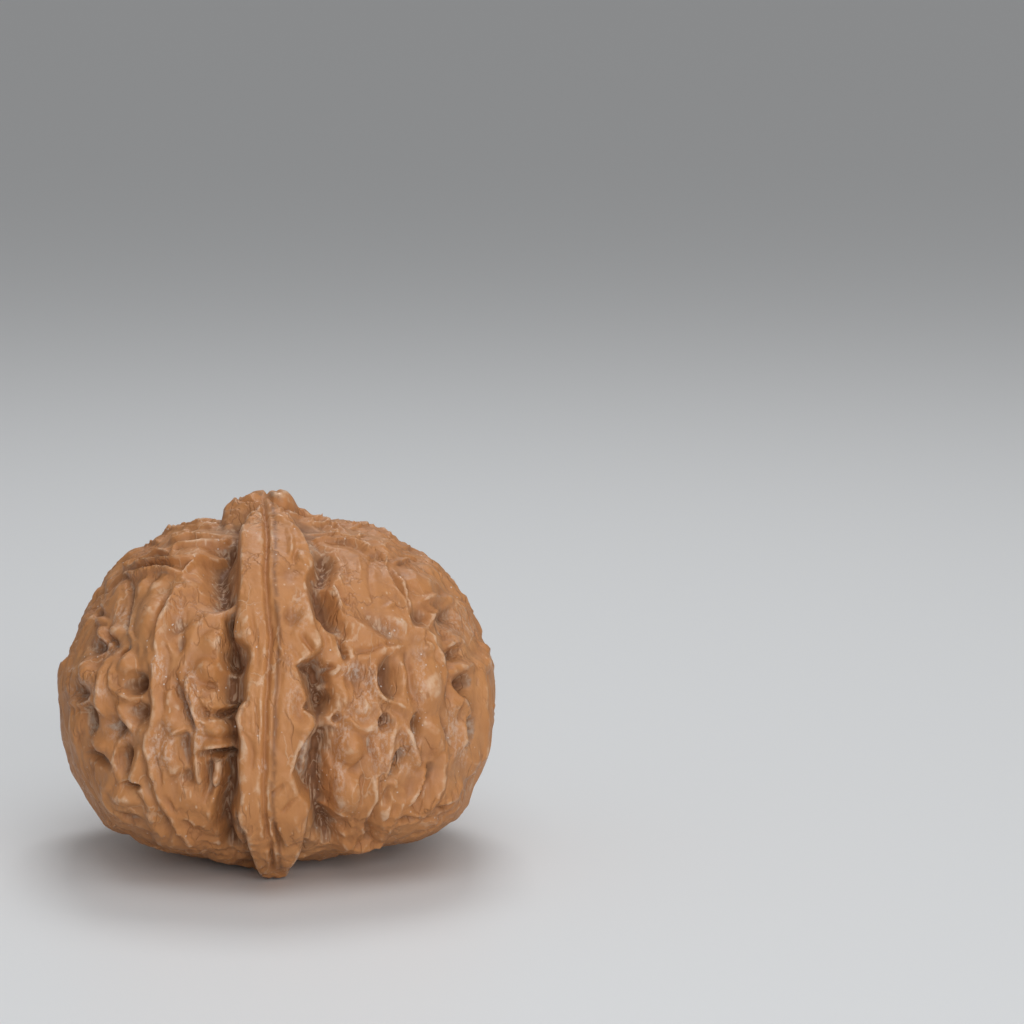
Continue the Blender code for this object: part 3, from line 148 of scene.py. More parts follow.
# Crests and creases: height over the shell (below it where negative), half width, lean, and the
# points that the line runs through. Lean lengthens the slope on the left of the line's travel.
tipLines = [
    (0.5, 0.5, 0, [(0, 31.9), (0.9, 31.6), (1.7, 31.1), (2.3, 30.5), (2.6, 29.2), (2.6, 27.5)]),
    (-0.35, 0.4, 0, [(1.5, 31), (2.4, 30.3), (2.75, 29), (2.8, 27.5), (2.9, 26.4)]),
    (-0.6, 0.55, 0, [(-0.6, 33.5), (-1.7, 33.2), (-2.8, 32.8), (-3.9, 31.9)]),
    (-0.6, 0.55, 0, [(0.1, 33.5), (1.1, 33.1), (2.5, 32.5), (3.9, 31.5), (5, 30.9)]),
]
leftShoulderLines = [
    (0.5, 0.9, 0.5, [(-8.7, 30.4), (-5, 30.8), (-3.4, 31.1)]),
    (0.5, 0.9, 0.5, [(-10, 30), (-8.6, 30.15), (-5, 30.4), (-3, 30.9)]),
    (0.55, 0.8, 0.5, [(-9.4, 29.1), (-8.5, 29.2), (-7.5, 29.5), (-6, 29.6), (-3.5, 29.7)]),
    (0.4, 0.7, 0.5, [(-11.5, 28.9), (-10, 29.1)]),
    (0.55, 0.8, 0.5, [(-8.8, 28.1), (-8.3, 28.6), (-6.5, 28.9), (-4, 29.3), (-3.3, 29.8)]),
    (0.5, 0.9, 0.5, [(-13.2, 26.8), (-12, 27.3), (-10, 28), (-9, 28)]),
    (0.9, 1, 0.5, [(-13.5, 26.6), (-11, 27), (-9, 27), (-7.5, 27.2), (-6.2, 27.5), (-5.1, 27.9),
        (-4.5, 28.5), (-4, 29)]),
    (0.45, 0.5, 0.5, [(-8, 26.1), (-7.5, 26.5), (-6.8, 27.1), (-6.1, 27.5)]),
    (0.7, 0.9, 0.5, [(-13.6, 25.9), (-13, 26), (-12.5, 25.75), (-11.9, 26), (-10.3, 26.3), (-9, 26.15),
        (-8, 26.1)]),
    (-0.4, 0.5, 0, [(-12.5, 26.5), (-10.5, 26.7), (-8.6, 26.6)]),
    (-0.4, 0.5, 0, [(-9.6, 28.4), (-8.9, 28.7), (-8.8, 29)]),
]
leftLines = [
    (-2.2, 2.2, 0, [(-4, 29.2), (-4.4, 27.5), (-4.7, 25.6), (-4.3, 23.8), (-3.6, 22.9)]),
    (-1.9, 1.1, 0, [(-3.7, 22.6), (-3.5, 21.4), (-3.6, 20.2), (-3.5, 19)]),
    (-2.6, 1.3, 0, [(-3.6, 20.2), (-3.4, 18.8), (-3.1, 17.6), (-3.3, 16.4)]),
    (-1.4, 1.3, 0, [(-3.2, 17.2), (-3.6, 15.6), (-3.7, 14.2), (-3.9, 12.8)]),
    (-2.2, 0.7, 0, [(-5.4, 13), (-4.4, 12.9), (-3.4, 13.3), (-2.6, 13.8)]),
    (-1.2, 1, 0, [(-3.8, 13), (-3.5, 11.4), (-3.4, 9.6)]),
    (-2.3, 0.65, 0, [(-6.6, 8.7), (-5.4, 8.8), (-4.2, 8.7), (-2.8, 9.2)]),
    (-1.9, 1.1, 0, [(-3.5, 9.2), (-3.6, 7.4), (-3.8, 5.4), (-4.3, 3.4), (-4, 1.6), (-3.6, 0)]),
    (-1.3, 0.7, 0, [(-5.7, 9), (-5.8, 7.6), (-5.5, 6.2), (-5.8, 4.8)]),
    (0.5, 0.4, 0, [(-4.4, 19.9), (-3.6, 20.2), (-2.8, 20.2)]),
    (0.7, 0.8, 0, [(-3, 23), (-4, 22.6), (-5, 22.3), (-6, 21.9), (-6.5, 21.3), (-6.8, 20.5), (-7, 19.5),
        (-7.3, 18.5)]),
    (0.55, 0.7, 0, [(-7.9, 26), (-7.9, 25.3), (-7, 25), (-6.3, 24.7), (-4.9, 24.7)]),
    (0.6, 0.8, 0, [(-7, 15.3), (-6.5, 14.8), (-5.5, 14), (-4.8, 13.6), (-4, 13.7), (-3, 14.1)]),
    (0.5, 0.6, 0, [(-6.9, 12.6), (-6.3, 12.1), (-5.5, 12), (-4.3, 12.4)]),
    (0.8, 0.8, 0.3, [(-6.9, 9.2), (-6, 9.3), (-5, 9.6), (-3, 9.9)]),
    (0.5, 0.5, 0, [(-5.9, 6.5), (-5.3, 5.5), (-5.6, 3.5), (-5.3, 2.3)]),
    (0.7, 0.8, 0, [(-7.2, 17), (-7.4, 16), (-6.9, 14), (-6.8, 12), (-6.9, 10), (-6.6, 8), (-6.6, 6)]),
    (-0.6, 0.6, 0, [(-8.5, 16.4), (-8.2, 15), (-7.9, 14), (-7.7, 13), (-7.4, 12), (-7.3, 11),
        (-7.6, 10.3)]),
    (1, 0.75, 0, [(-8.3, 25), (-8.8, 23.8), (-9.3, 22.5), (-9.9, 21.5), (-10.2, 20), (-10.3, 18.5),
        (-10.5, 17), (-10.6, 15.5), (-10.5, 14), (-10.8, 12), (-11.2, 11), (-11.3, 10), (-10.9, 8),
        (-10.6, 7), (-10.2, 6), (-9.8, 5), (-9.3, 4), (-8.7, 3), (-8.2, 2), (-7.4, 1), (-6.9, 0.3)]),
    (0.4, 0.4, 0, [(-10.3, 10.6), (-10.2, 9), (-9.9, 7.4), (-9.4, 5.6), (-8.8, 4.2), (-8.2, 3),
        (-7.4, 1.6)]),
    (-0.35, 0.35, 0, [(-10.7, 11), (-10.5, 9), (-10.2, 7.4), (-9.8, 5.6), (-9, 4), (-8, 2)]),
    (0.55, 0.5, 0, [(-9.6, 22), (-9.5, 20), (-9.2, 19.2), (-8.8, 18.7)]),
    (-0.5, 0.45, 0, [(-9.3, 24.6), (-9.8, 23.3), (-10.2, 22), (-10.5, 20.5), (-10.8, 19)]),
    (0.5, 0.5, 0, [(-9.2, 11), (-8.4, 11.3), (-7.6, 11.2)]),
    (-0.4, 0.4, 0, [(-9.2, 10.6), (-8.2, 10.9), (-7.6, 10.7)]),
    (0.7, 0.7, 0, [(-11.6, 13), (-12.1, 11), (-11.9, 10), (-12.1, 9), (-12.2, 8), (-12.4, 7), (-12, 6),
        (-11.4, 5), (-11, 4), (-10.8, 3), (-10.3, 2), (-9.5, 1.3)]),
    (0.8, 0.7, 0, [(-14.6, 18.5), (-15.3, 17), (-15.5, 15.5), (-15.6, 14), (-15.4, 13), (-15.2, 12.5)]),
    (0.5, 0.5, 0, [(-14.2, 18.5), (-14.5, 17), (-14.6, 15.5), (-14, 15), (-13, 14.6), (-12.2, 14.2)]),
    (-0.5, 0.6, 0, [(-15.6, 25.3), (-15.6, 24), (-15.8, 22.8)]),
    (-0.55, 0.6, 0, [(-13, 25.5), (-12.9, 24), (-13.1, 22.5), (-13.3, 21)]),
    (0.45, 0.4, 0, [(-12.6, 22.7), (-12.9, 21.5), (-13.1, 20.7), (-12.8, 20), (-12.4, 19.5)]),
    (-0.6, 0.5, 0, [(-15.2, 20.4), (-14.6, 20), (-14.3, 19.2)]),
    (-0.9, 0.5, 0, [(-14.1, 18.4), (-13.6, 18.8), (-13, 19.2)]),
    (0.5, 0.5, 0, [(-18.9, 13.9), (-17.5, 14.1), (-16.2, 14.8)]),
    (0.7, 0.8, 0, [(-13.9, 14.2), (-13.6, 13), (-13.2, 12), (-12.8, 11)]),
    (0.4, 0.6, 0, [(-18.6, 19), (-18.9, 17.6), (-19.6, 16.6)]),
    (0.4, 0.5, 0, [(-11.4, 19.6), (-11, 18.6), (-11, 17.4), (-10.9, 16.4)]),
    (0.4, 0.6, 0, [(-14.9, 6.6), (-15.4, 5.6), (-15, 4.4), (-14.4, 3.4)]),
]
leftSpots = [
    (-1.3, -4.9, 25.2, 2, 3.2, 6), (-0.9, -3.8, 24, 1.3, 1.1, 0), (-0.4, -6.4, 25.9, 1.2, 0.8, 30),
    (-1.5, -3.3, 18.5, 0.9, 1.2, 0), (-0.5, -5.3, 15.3, 1, 0.4, -10), (-1.2, -4, 13.1, 1, 0.55, 10),
    (-0.6, -6, 13.1, 0.8, 0.8, 0), (-1.5, -4.6, 8.9, 1.5, 0.5, 5), (-0.8, -5.7, 7.7, 0.5, 1.1, 0),
    (0.9, -5.5, 16.9, 1.3, 1.1, 0), (0.9, -4.7, 11.2, 1.7, 0.9, 5), (0.6, -4.8, 6.6, 0.9, 0.7, 20),
    (-0.9, -4, 2, 1.5, 1, 20), (0.6, -5, 19.6, 1.6, 1.2, 0), (0.5, -4.4, 7, 0.6, 1.2, 10),
    (0.5, -7.2, 3.6, 1.8, 2.5, 10), (-0.7, -7.9, 9.6, 0.9, 1.7, 0), (-0.6, -8, 7, 0.8, 1, 0),
    (0.4, -9, 14.4, 1, 1.4, 0), (0.4, -9.2, 12.4, 0.9, 0.9, 0), (0.5, -9.1, 8.6, 0.9, 1.8, 0),
    (0.5, -16.4, 23.8, 0.8, 1.8, -14), (0.6, -14.2, 23.8, 1.1, 2, 0), (0.7, -11.3, 22.2, 1.3, 2.2, 0),
    (0.4, -10.3, 25, 0.7, 1.1, 0), (0.4, -11.7, 25, 0.8, 0.9, 0), (-0.9, -15.9, 22.5, 0.6, 0.5, 0),
    (0.6, -15.7, 21.6, 0.7, 0.5, 0), (0.6, -15.6, 20.5, 0.8, 0.6, -15), (0.5, -14.3, 20.8, 0.7, 0.7, 0),
    (-0.9, -16.1, 19.2, 1.2, 0.8, 0), (0.8, -16.9, 17.2, 1.2, 1, -20), (-0.9, -17.9, 15.3, 1.7, 1.1, 0),
    (0.6, -13.3, 17.7, 0.9, 1.1, 0), (-1.5, -12.5, 15.9, 1, 1, 0), (-0.9, -12.2, 13, 0.8, 1.3, 0),
    (-0.9, -17, 12.6, 0.9, 1.7, 5), (-0.9, -14.6, 11.6, 1.1, 1, 0), (0.7, -15.8, 10.1, 1.1, 0.9, 0),
    (-1, -16.2, 8.7, 1.5, 0.7, -5), (-1.3, -13.7, 8.6, 0.7, 1.6, 5), (-1.1, -12.9, 6.3, 1, 0.45, 0),
    (0.6, -13.4, 5, 1.3, 0.9, 0), (-0.6, -13, 3.2, 1.4, 0.6, 0), (0.5, -18.3, 11.5, 0.8, 2.2, 0),
    (0.4, -18.4, 18.9, 0.6, 1.6, -20), (0.4, -11.2, 17.9, 0.7, 1.2, 10), (-0.5, -8.2, 21.3, 0.8, 1.2, 0),
    (-0.5, -8.3, 19.5, 0.6, 1.1, 0),
]
rightShoulderLines = [
    (0.5, 0.8, 0.5, [(3.5, 30.8), (5.5, 30.5), (6.5, 30.4), (7.7, 29.9)]),
    (0.5, 0.8, 0.5, [(8, 30.2), (9.2, 30.4), (10.5, 30.1), (12, 29.1), (12.8, 28.6)]),
    (0.4, 0.7, 0.5, [(3.8, 29.8), (6, 29.6), (8.2, 29.4), (9, 29.6), (10.5, 28.9), (11.6, 28)]),
    (0.75, 0.9, 0.5, [(4.2, 29.1), (5, 29.1), (6.5, 28.85), (7.5, 28.9), (8.7, 28.5), (9.2, 28),
        (10.5, 27.6), (11.1, 26.8)]),
    (0.6, 0.8, 0, [(9.3, 29.2), (10.5, 28.5), (11.8, 27.4)]),
    (0.5, 0.6, 0, [(9.7, 30), (11, 29.5), (12.3, 28.6)]),
    (0.45, 0.5, 0.4, [(11.8, 27), (12.4, 26.9), (13.7, 26.9)]),
    (0.6, 0.7, 0.5, [(12.8, 28.4), (13.8, 28.2), (14.5, 27.6), (15.2, 27), (16.6, 25.7)]),
    (0.55, 0.5, 0.2, [(13.9, 27.6), (14.6, 27.1), (15.4, 26.5), (16.1, 25.8), (16.8, 24.9), (17.4, 24),
        (17.6, 23.3)]),
    (0.45, 0.9, 0, [(17, 26), (18, 25), (19, 23.5), (19.8, 22), (20.4, 20.5), (20.9, 19)]),
    (-0.5, 0.5, 0, [(17.8, 24.2), (18.5, 22.8), (19.2, 21.4), (19.8, 19.8)]),
    (0.6, 0.7, 0, [(13, 26.4), (13.7, 25.6), (14, 24.6)]),
]
rightLines = [
    (-0.25, 0.45, 0, [(6.9, 28.2), (7.4, 26.4), (7.6, 24.6), (8.2, 22.9)]),
    (0.2, 0.6, 0, [(8.4, 28), (8.9, 26.2), (8.7, 24.4)]),
    (-0.2, 0.4, 0, [(9.6, 28), (9.9, 26), (9.7, 24.3), (10.4, 22.6)]),
    (-1.5, 1.4, 0, [(5.5, 28), (5.4, 26.4), (5.2, 24.4), (5.5, 22), (6.5, 20.4)]),
    (-2, 1.3, 0, [(4, 17.8), (4.7, 16), (5, 14.2), (4.7, 12.6)]),
    (-1.7, 1.5, 0, [(5.6, 11.2), (4.9, 9), (4.6, 6.6), (5, 4), (5.6, 1.6), (5.8, 0.2)]),
    (0.5, 0.45, 0, [(11, 26.8), (11.4, 26), (11.9, 25), (12.4, 24), (12.9, 23), (13.1, 22.2), (13.7, 21),
        (14, 20.3)]),
    (-0.5, 0.4, 0, [(11.6, 26.6), (12, 25.8), (12.4, 25), (12.9, 24), (13.4, 23), (13.6, 22),
        (13.9, 21.2)]),
    (0.35, 0.4, 0, [(12.2, 26.2), (12.7, 25), (13.3, 23.9), (13.8, 23)]),
    (0.5, 0.5, 0, [(6.2, 25.3), (6.6, 24.2), (6.8, 23.2), (7, 21.8)]),
    (-0.45, 0.5, 0, [(6.5, 25.2), (7.1, 24.2), (7.6, 23.4), (8.3, 22.9)]),
    (-0.45, 0.7, 0, [(6.5, 22.6), (6.9, 21), (7.4, 19.6)]),
    (0.3, 0.35, 0, [(9, 22.9), (10.2, 22.6), (12.2, 23.2)]),
    (-0.9, 0.45, 0, [(4.1, 25.6), (4.7, 25.5), (5.4, 25.1)]),
    (0.7, 0.6, 0, [(4.1, 25.2), (5, 25), (5.8, 24.6), (6.5, 23.4)]),
    (-1.2, 0.7, 0, [(4.6, 24.2), (4.8, 23), (5.2, 21.8), (5.8, 21)]),
    (-1.5, 0.5, 0, [(6.8, 20.2), (7.1, 19.2), (7.4, 18.4), (7.4, 17.8)]),
    (0.5, 0.45, 0, [(14.2, 23.3), (15.5, 23.4), (16.5, 23.6), (17.2, 23.9)]),
    (0.5, 0.5, 0, [(17.2, 23.8), (16.8, 22.8), (16, 22), (15, 20.9)]),
    (0.6, 0.5, 0, [(13.8, 20.9), (14.6, 20.6), (15.4, 19.8), (15.5, 19)]),
    (0.5, 0.6, 0, [(7.8, 18.6), (8.8, 18.2), (10.2, 18.3), (11.3, 18.6), (12.5, 18.8), (13.3, 19.2)]),
    (-0.35, 0.4, 0, [(8.5, 18.8), (10, 18.8), (11.4, 19.1), (12.8, 19.5)]),
    (0.7, 0.6, 0, [(10, 18), (10.1, 17), (10.2, 16), (10.3, 15), (10.9, 14.3), (11.7, 14), (12.4, 13.6),
        (13.6, 12.8)]),
    (-0.6, 0.35, 0, [(10.4, 16.7), (10.4, 15.8), (10.6, 15.2)]),
    (0.6, 0.55, 0, [(12.9, 17.7), (12.7, 16.4), (12.6, 15.2), (13.1, 14), (13.8, 13)]),
    (-0.45, 0.5, 0, [(13.5, 18.8), (13.5, 17.4), (13.5, 16), (13.8, 14.7), (14.3, 13.3)]),
    (0.6, 0.5, 0, [(15.4, 19.8), (15.8, 18.8), (16.3, 18), (16.7, 17), (16.8, 16), (16.9, 14.6)]),
    (0.6, 0.6, 0, [(17.2, 19), (18, 19.5), (18.7, 19.3), (18.9, 18.5)]),
    (0.6, 0.6, 0, [(18, 17.2), (19, 16.9), (19.9, 17.1)]),
    (0.7, 0.7, 0, [(6.9, 12.1), (7.6, 12.2), (8.2, 11.6), (9.3, 11.4), (10, 11.8), (10.3, 12.5)]),
    (0.7, 0.6, 0, [(13, 11.6), (13.5, 9.5), (13.8, 8.5), (14.6, 7.2), (14.4, 5.8), (13.6, 4.6),
        (13.1, 3.8)]),
    (-1.4, 0.6, 0, [(15.3, 7.7), (15, 6.5), (14.6, 5.2), (14.2, 4.3)]),
    (0.8, 0.8, 0, [(15.3, 12.3), (16, 10.8), (16.3, 9), (16.3, 7.5), (16.1, 5.8), (15.6, 4.4), (15, 3.2)]),
    (-0.5, 0.5, 0, [(16.3, 12.9), (16.7, 11.5), (17.1, 10.5), (17.6, 9.2)]),
    (0.8, 0.6, 0, [(17.5, 15), (18.4, 13.8), (19, 12.5), (18.4, 11.2), (18.4, 10), (18.4, 8.8)]),
    (0.9, 0.9, 0, [(20.6, 18.6), (20.2, 17), (20.2, 15), (20.2, 13), (20.4, 11), (20.3, 9), (19.8, 7.4)]),
    (-0.6, 0.5, 0, [(21.2, 18), (21.2, 16), (21.3, 13), (21.3, 10), (20.9, 8)]),
    (0.5, 0.45, 0, [(18.4, 7.2), (17.8, 5.6), (17.1, 4.5), (16.2, 4)]),
    (0.5, 0.5, 0, [(9.9, 6.9), (10, 5), (9.7, 4), (9.2, 3.1), (8.2, 2.8)]),
    (-0.5, 0.45, 0, [(9.3, 7), (8.9, 6), (8.8, 5), (8.3, 3.6)]),
    (-0.6, 0.5, 0, [(10.2, 4.2), (9.9, 3), (9.5, 2), (9.3, 0.9)]),
    (0.6, 0.7, 0, [(11.4, 4.6), (11.1, 3), (10.6, 1.4), (9.8, 0.3), (8.8, 0)]),
    (-0.4, 0.35, 0, [(10.8, 7), (10.5, 5.6), (10.4, 4.4)]),
    (-0.4, 0.35, 0, [(11.3, 6), (11, 5), (10.9, 4)]),
    (0.5, 0.5, 0, [(4.5, 3.9), (5.4, 3.6), (6.3, 3.3), (7.8, 2.7)]),
    (-0.5, 0.5, 0, [(6.4, 12), (6.7, 11), (6.3, 9.5), (6, 8), (5.9, 6.5), (5.8, 4.6)]),
    (0.5, 0.6, 0, [(12.4, 12.4), (11.5, 10.6), (11.3, 9.4), (11.2, 8), (11.6, 6.6), (12, 5.4)]),
    (0.4, 0.5, 0, [(10, 10.8), (10.3, 9), (10.4, 7.6), (10.6, 6.6)]),
    (-0.35, 0.4, 0, [(9.6, 10.8), (9.6, 9.4), (9.9, 8.2)]),
    (0.5, 0.6, 0, [(12.6, 4.6), (12.4, 3.4), (11.6, 2), (10.8, 0.9)]),
    (0.4, 0.5, 0, [(15.2, 2.9), (14.2, 3.1), (13.4, 3.6)]),
]
rightSpots = [
    (0.25, 8.8, 25.8, 3.6, 3.2, -25), (-0.4, 5.6, 27.1, 1.4, 1.4, -10), (-0.6, 10.9, 21.2, 2.6, 1.1, -42),
    (0.3, 9, 20.6, 1.3, 2.2, 30), (0.4, 12.4, 21.6, 0.9, 1.9, 35), (-0.8, 14.6, 22.1, 1.1, 1.3, 20),
    (-0.7, 16.9, 22, 1.2, 1.3, 0), (0.3, 15, 25, 1.3, 1.3, 0), (-1.5, 4, 17.3, 1.1, 0.8, 10),
    (-0.8, 5.4, 17.1, 1, 0.5, 0), (-1.4, 5, 14.2, 1, 0.6, 0), (0.7, 5, 15.3, 0.7, 0.5, 0),
    (0.5, 6.1, 16.8, 1, 0.6, 20), (-0.6, 3.4, 13.3, 0.7, 1.4, 0), (-0.9, 6.5, 12.2, 0.5, 0.7, 0),
    (-0.6, 5.8, 10.8, 1.1, 0.7, 0), (-0.8, 4.6, 8.7, 1.1, 0.5, 0), (-1.2, 5.6, 1.6, 1.6, 1.3, 0),
    (0.9, 7.8, 9.4, 1.1, 1.7, -5), (0.9, 7.6, 5, 1.4, 2.1, 8), (0.7, 8.3, 0.3, 2, 1.1, 0),
    (-1.1, 11.7, 16.2, 1.1, 1.7, -12), (0.8, 15.3, 15.2, 1.5, 2.4, 0), (0.5, 17.5, 16.6, 0.7, 0.6, 0),
    (0.5, 14.9, 18.9, 0.8, 0.7, 0), (-0.9, 17.8, 18.4, 1, 0.9, 0), (-1.3, 18.7, 15.4, 0.9, 1, 0),
    (0.5, 17.7, 13.3, 0.6, 1.1, 20), (-1.2, 11.2, 11.8, 0.6, 0.8, 0), (-1.3, 14.3, 11.2, 0.5, 1.5, -8),
    (-1.5, 12.2, 7.9, 0.55, 1.6, -25), (-1.5, 19.2, 11.1, 0.7, 1.5, -5), (-0.7, 16.8, 3.7, 0.6, 0.5, 0),
    (-0.7, 13.5, 2.6, 0.9, 0.6, 0), (0.4, 9, 13.6, 1.4, 1.2, 0), (0.4, 7.2, 14.4, 1.1, 1.3, 0),
    (-0.4, 8.4, 16, 1.2, 1.2, 0), (0.5, 19.4, 8, 1.2, 2, 15),
]
keelLines = [
    (-0.3, 0.35, 0, [(-1.3, 23), (-1.15, 21), (-1, 19), (-0.95, 17)]),
    (-0.25, 0.3, 0, [(-1, 15.4), (-0.95, 13), (-1.1, 10.8)]),
    (-0.3, 0.4, 0, [(0.5, 24.2), (0.6, 22), (0.8, 20), (1.3, 18.7), (1.45, 17.6), (1.3, 15.6), (0.9, 13),
        (0.8, 11), (0.7, 9.4)]),
    (0.3, 0.5, 0, [(1, 21.4), (1.15, 19.8), (1.7, 18.6)]),
    (-0.8, 0.5, 0, [(3.1, 20.7), (3.8, 19.7), (4.3, 19), (4.7, 18.4)]),
    (1.1, 0.8, 0, [(4.3, 21.6), (5.3, 20.6), (6, 19.7), (6.5, 18.6)]),
    (-0.4, 0.4, 0, [(1.2, 3.2), (2, 4.4), (2.8, 4.9)]),
    (-0.6, 0.4, 0, [(0.5, 2.2), (0.8, 0.9), (1.4, -0.4)]),
    (-0.4, 0.25, 0, [(0.2, 1), (0.2, -0.4), (0.5, -1.6)]),
    (0.3, 0.25, 0, [(-0.1, 1.2), (-0.1, -0.4), (0.1, -1.8)]),
    (-0.3, 0.4, 0, [(-1.7, 10.4), (-1.6, 9.2), (-1.9, 7.6)]),
    (-0.3, 0.4, 0, [(1.4, 6.2), (0.7, 5.6), (0.2, 5)]),
]
keelSpots = [
    (-0.5, 2.5, 22, 0.8, 1.1, 0), (-0.35, 2.3, 26, 1.3, 1.5, 0), (0.3, -1.4, 21.2, 1.2, 1.5, 0),
    (-0.5, 3.2, 13.2, 0.8, 1.5, 0), (0.35, 3.6, 11.7, 1.2, 0.9, 0), (0.35, 2.4, 1.8, 1.2, 1.9, -12),
    (0.3, 5.5, 19, 0.9, 1.2, 30), (0.3, 3.6, 27.6, 0.8, 1, 0),
]
# The tip's crown: how much of its height stands at each place across
crown = [
    (-4.8, 0), (-4.3, 0.32), (-3.9, 0.45), (-3.2, 0.6), (-2.2, 0.77), (-1.1, 0.9), (-0.3, 0.84),
    (0.4, 0.94), (1.3, 1), (1.9, 0.93), (2.5, 0.72), (3.4, 0.45), (4.4, 0.3), (5.4, 0.14), (6.4, 0),
]
# Folds of the tip's crown: height, half width, and turn and rise from the centre in degrees
crownFolds = [
    (0.6, 0.8, [(-112, 75), (-114, 79), (-118, 84)]),
    (0.5, 0.8, [(112, 73), (115, 78), (118, 84)]),
    (-0.7, 0.6, [(-150, 74), (-154, 79), (-160, 85)]),
    (-0.6, 0.6, [(152, 72), (156, 78), (160, 84)]),
]
# Broad fullness and hollows of the body: height, across, up and reach each way
swells = [
    (-1.3, -18, 22.5, 8, 7), (-0.8, 19.5, 22.5, 5, 6), (-0.4, -19.5, 8, 6, 9), (-0.6, -13, 28.5, 5, 3),
    (-0.5, 16, 28, 5, 3), (0.8, 15, 3, 6, 4.5),
]
# Where the shell is smooth: across, up and the reach of each place
smoothPlaces = [
    (-9.5, 29, 6.5, 2.6), (9.5, 30, 7, 1.6), (8.8, 25.5, 3.6, 3), (12.2, 22, 1.3, 2.2), (0, 27, 3, 4.5),
    (15.3, 15, 1.6, 2.4), (-11.3, 22.3, 1.3, 2.2), (0, 18, 2.6, 6), (0, 8, 2.8, 6), (7.8, 9.4, 1.2, 1.7),
    (7.6, 5, 1.4, 2.1), (20.3, 12, 0.9, 6), (-6.5, 23.6, 2, 1.2), (-5, 18.5, 1.8, 2),
]
# Soft wrinkles all over: height (sharp crests where negative), length and seed
wrinkles = [(0.34, 7.0, 41), (0.13, 3.6, 51), (-0.15, 2.1, 61)]


# Points along a smooth curve through the given ones, a small step apart
def spread(points, step=0.6):
    given = np.array(points, float)
    ends = np.vstack([2 * given[0] - given[1], given, 2 * given[-1] - given[-2]])
    pieces = []
    for first, start, stop, last in zip(ends, ends[1:], ends[2:], ends[3:]):
        count = max(2, int(np.linalg.norm(stop - start) / step))
        u = np.linspace(0, 1, count, endpoint=False)[:, None]
        pieces.append(0.5 * (2 * start + (stop - first) * u
                             + (2 * first - 5 * start + 4 * stop - last) * u ** 2
                             + (3 * start - first - 3 * stop + last) * u ** 3))
    pieces.append(given[-1:])
    return np.vstack(pieces)


# Rises smoothly from 0 at low to 1 at high
def ramp(value, low, high):
    t = np.clip((value - low) / (high - low), 0, 1)
    return t * t * (3 - 2 * t)


# A smooth seeded field of about -1 to 1 that changes over the given length
def waves(points, length, seed, count=26):
    draw = np.random.default_rng(seed)
    ways = draw.normal(size=(count, 3))
    ways /= np.linalg.norm(ways, axis=1)[:, None]
    ways *= 2 * np.pi / (length * draw.uniform(0.75, 1.35, (count, 1)))
    return np.cos(points @ ways.T + draw.uniform(0, 2 * np.pi, count)).sum(axis=1) / np.sqrt(count)


# Moves points by a smooth seeded field
def drift(points, length, reach, seed):
    return points + reach * np.stack([waves(points, length, seed + k) for k in range(3)], axis=1)


sightUp = np.array([0.0, sin(nut["sightRise"]), cos(nut["sightRise"])])
sightOut = np.array([0.0, -cos(nut["sightRise"]), sin(nut["sightRise"])])
centre = np.array([0.0, 0.0, nut["centreHeight"]])
sightPoint = centre + nut["sightDistance"] * sightOut


# Where points of the front face are seen: across and up, through the plane of the seam's foot
def seen(points):
    ray = points - sightPoint
    along = -(sightPoint @ sightOut) / (ray @ sightOut)
    hit = sightPoint + ray * along[:, None]
    return hit[:, 0], hit @ sightUp


def normRadius(ratios, power):
    return np.maximum((np.abs(ratios) ** power).sum(axis=1), 1e-12) ** (-1 / power)


# Distance from the centre to the bare body, along unit directions
def bodyRadius(way):
    right = ramp(way[:, 0], -0.25, 0.25)
    width = nut["bellyLeft"] + (nut["bellyRight"] - nut["bellyLeft"]) * right
    height = np.where(way[:, 2] > 0, nut["bodyRise"], nut["bodyDrop"])
    ratios = np.stack([way[:, 0] / width, way[:, 1] / nut["bodyDepth"], way[:, 2] / height], axis=1)
    return normRadius(ratios, nut["bodyFullness"])


# Distance from the centre to the keel's edge, for the direction's place along the seam
def keelRadius(way):
    flat = way[:, 1:] / np.maximum(np.linalg.norm(way[:, 1:], axis=1), 1e-9)[:, None]
    upper = normRadius(flat / [nut["keelDepth"], nut["keelRise"]], nut["keelFullnessUp"])
    lower = normRadius(flat / [nut["keelDepth"], nut["keelDrop"]], nut["keelFullnessDown"])
    return np.where(flat[:, 1] > 0, upper, lower)


# 1 on the keel and 0 off it, with steep sides, by the keel's outline on the front and back
def keelShare(points):
    share = np.zeros(len(points))
    for side, slope in ((-1, nut["keelEdge"]), (1, nut["keelEdgeBack"])):
        across, up = seen(points * [-side, -side, 1])
        soft = slope + nut["tipSlope"] * ramp(up, *nut["tipHeights"])
        left = np.interp(up, *zip(*keelLeft))
        right = np.interp(up, *zip(*keelRight))
        inside = ramp(across, left - 0.5 * soft, left + 0.5 * soft)
        inside *= 1 - ramp(across, right - 0.5 * soft, right + 0.5 * soft)
        share = np.maximum(share, inside * ramp(side * points[:, 1], -1.5, 0.5))
    return share


# 1 on the tip's broad crown, steep on the left and gently sloped on the right
def crownShare(points):
    x, y, z = points.T
    along = ramp(y, *nut["crownFront"]) * (1 - ramp(y, *nut["crownBack"]))
    return np.interp(x, *zip(*crown)) * along * (z > nut["centreHeight"])


# Broad fullness and hollows of the body on one face
def swell(points):
    across, up = seen(points)
    total = np.zeros(len(points))
    for height, middle, level, wide, tall in swells:
        inside = ((across - middle) / wide) ** 2 + ((up - level) / tall) ** 2
        total += height * (1 - ramp(inside, 0.0, 1.0))
    return total


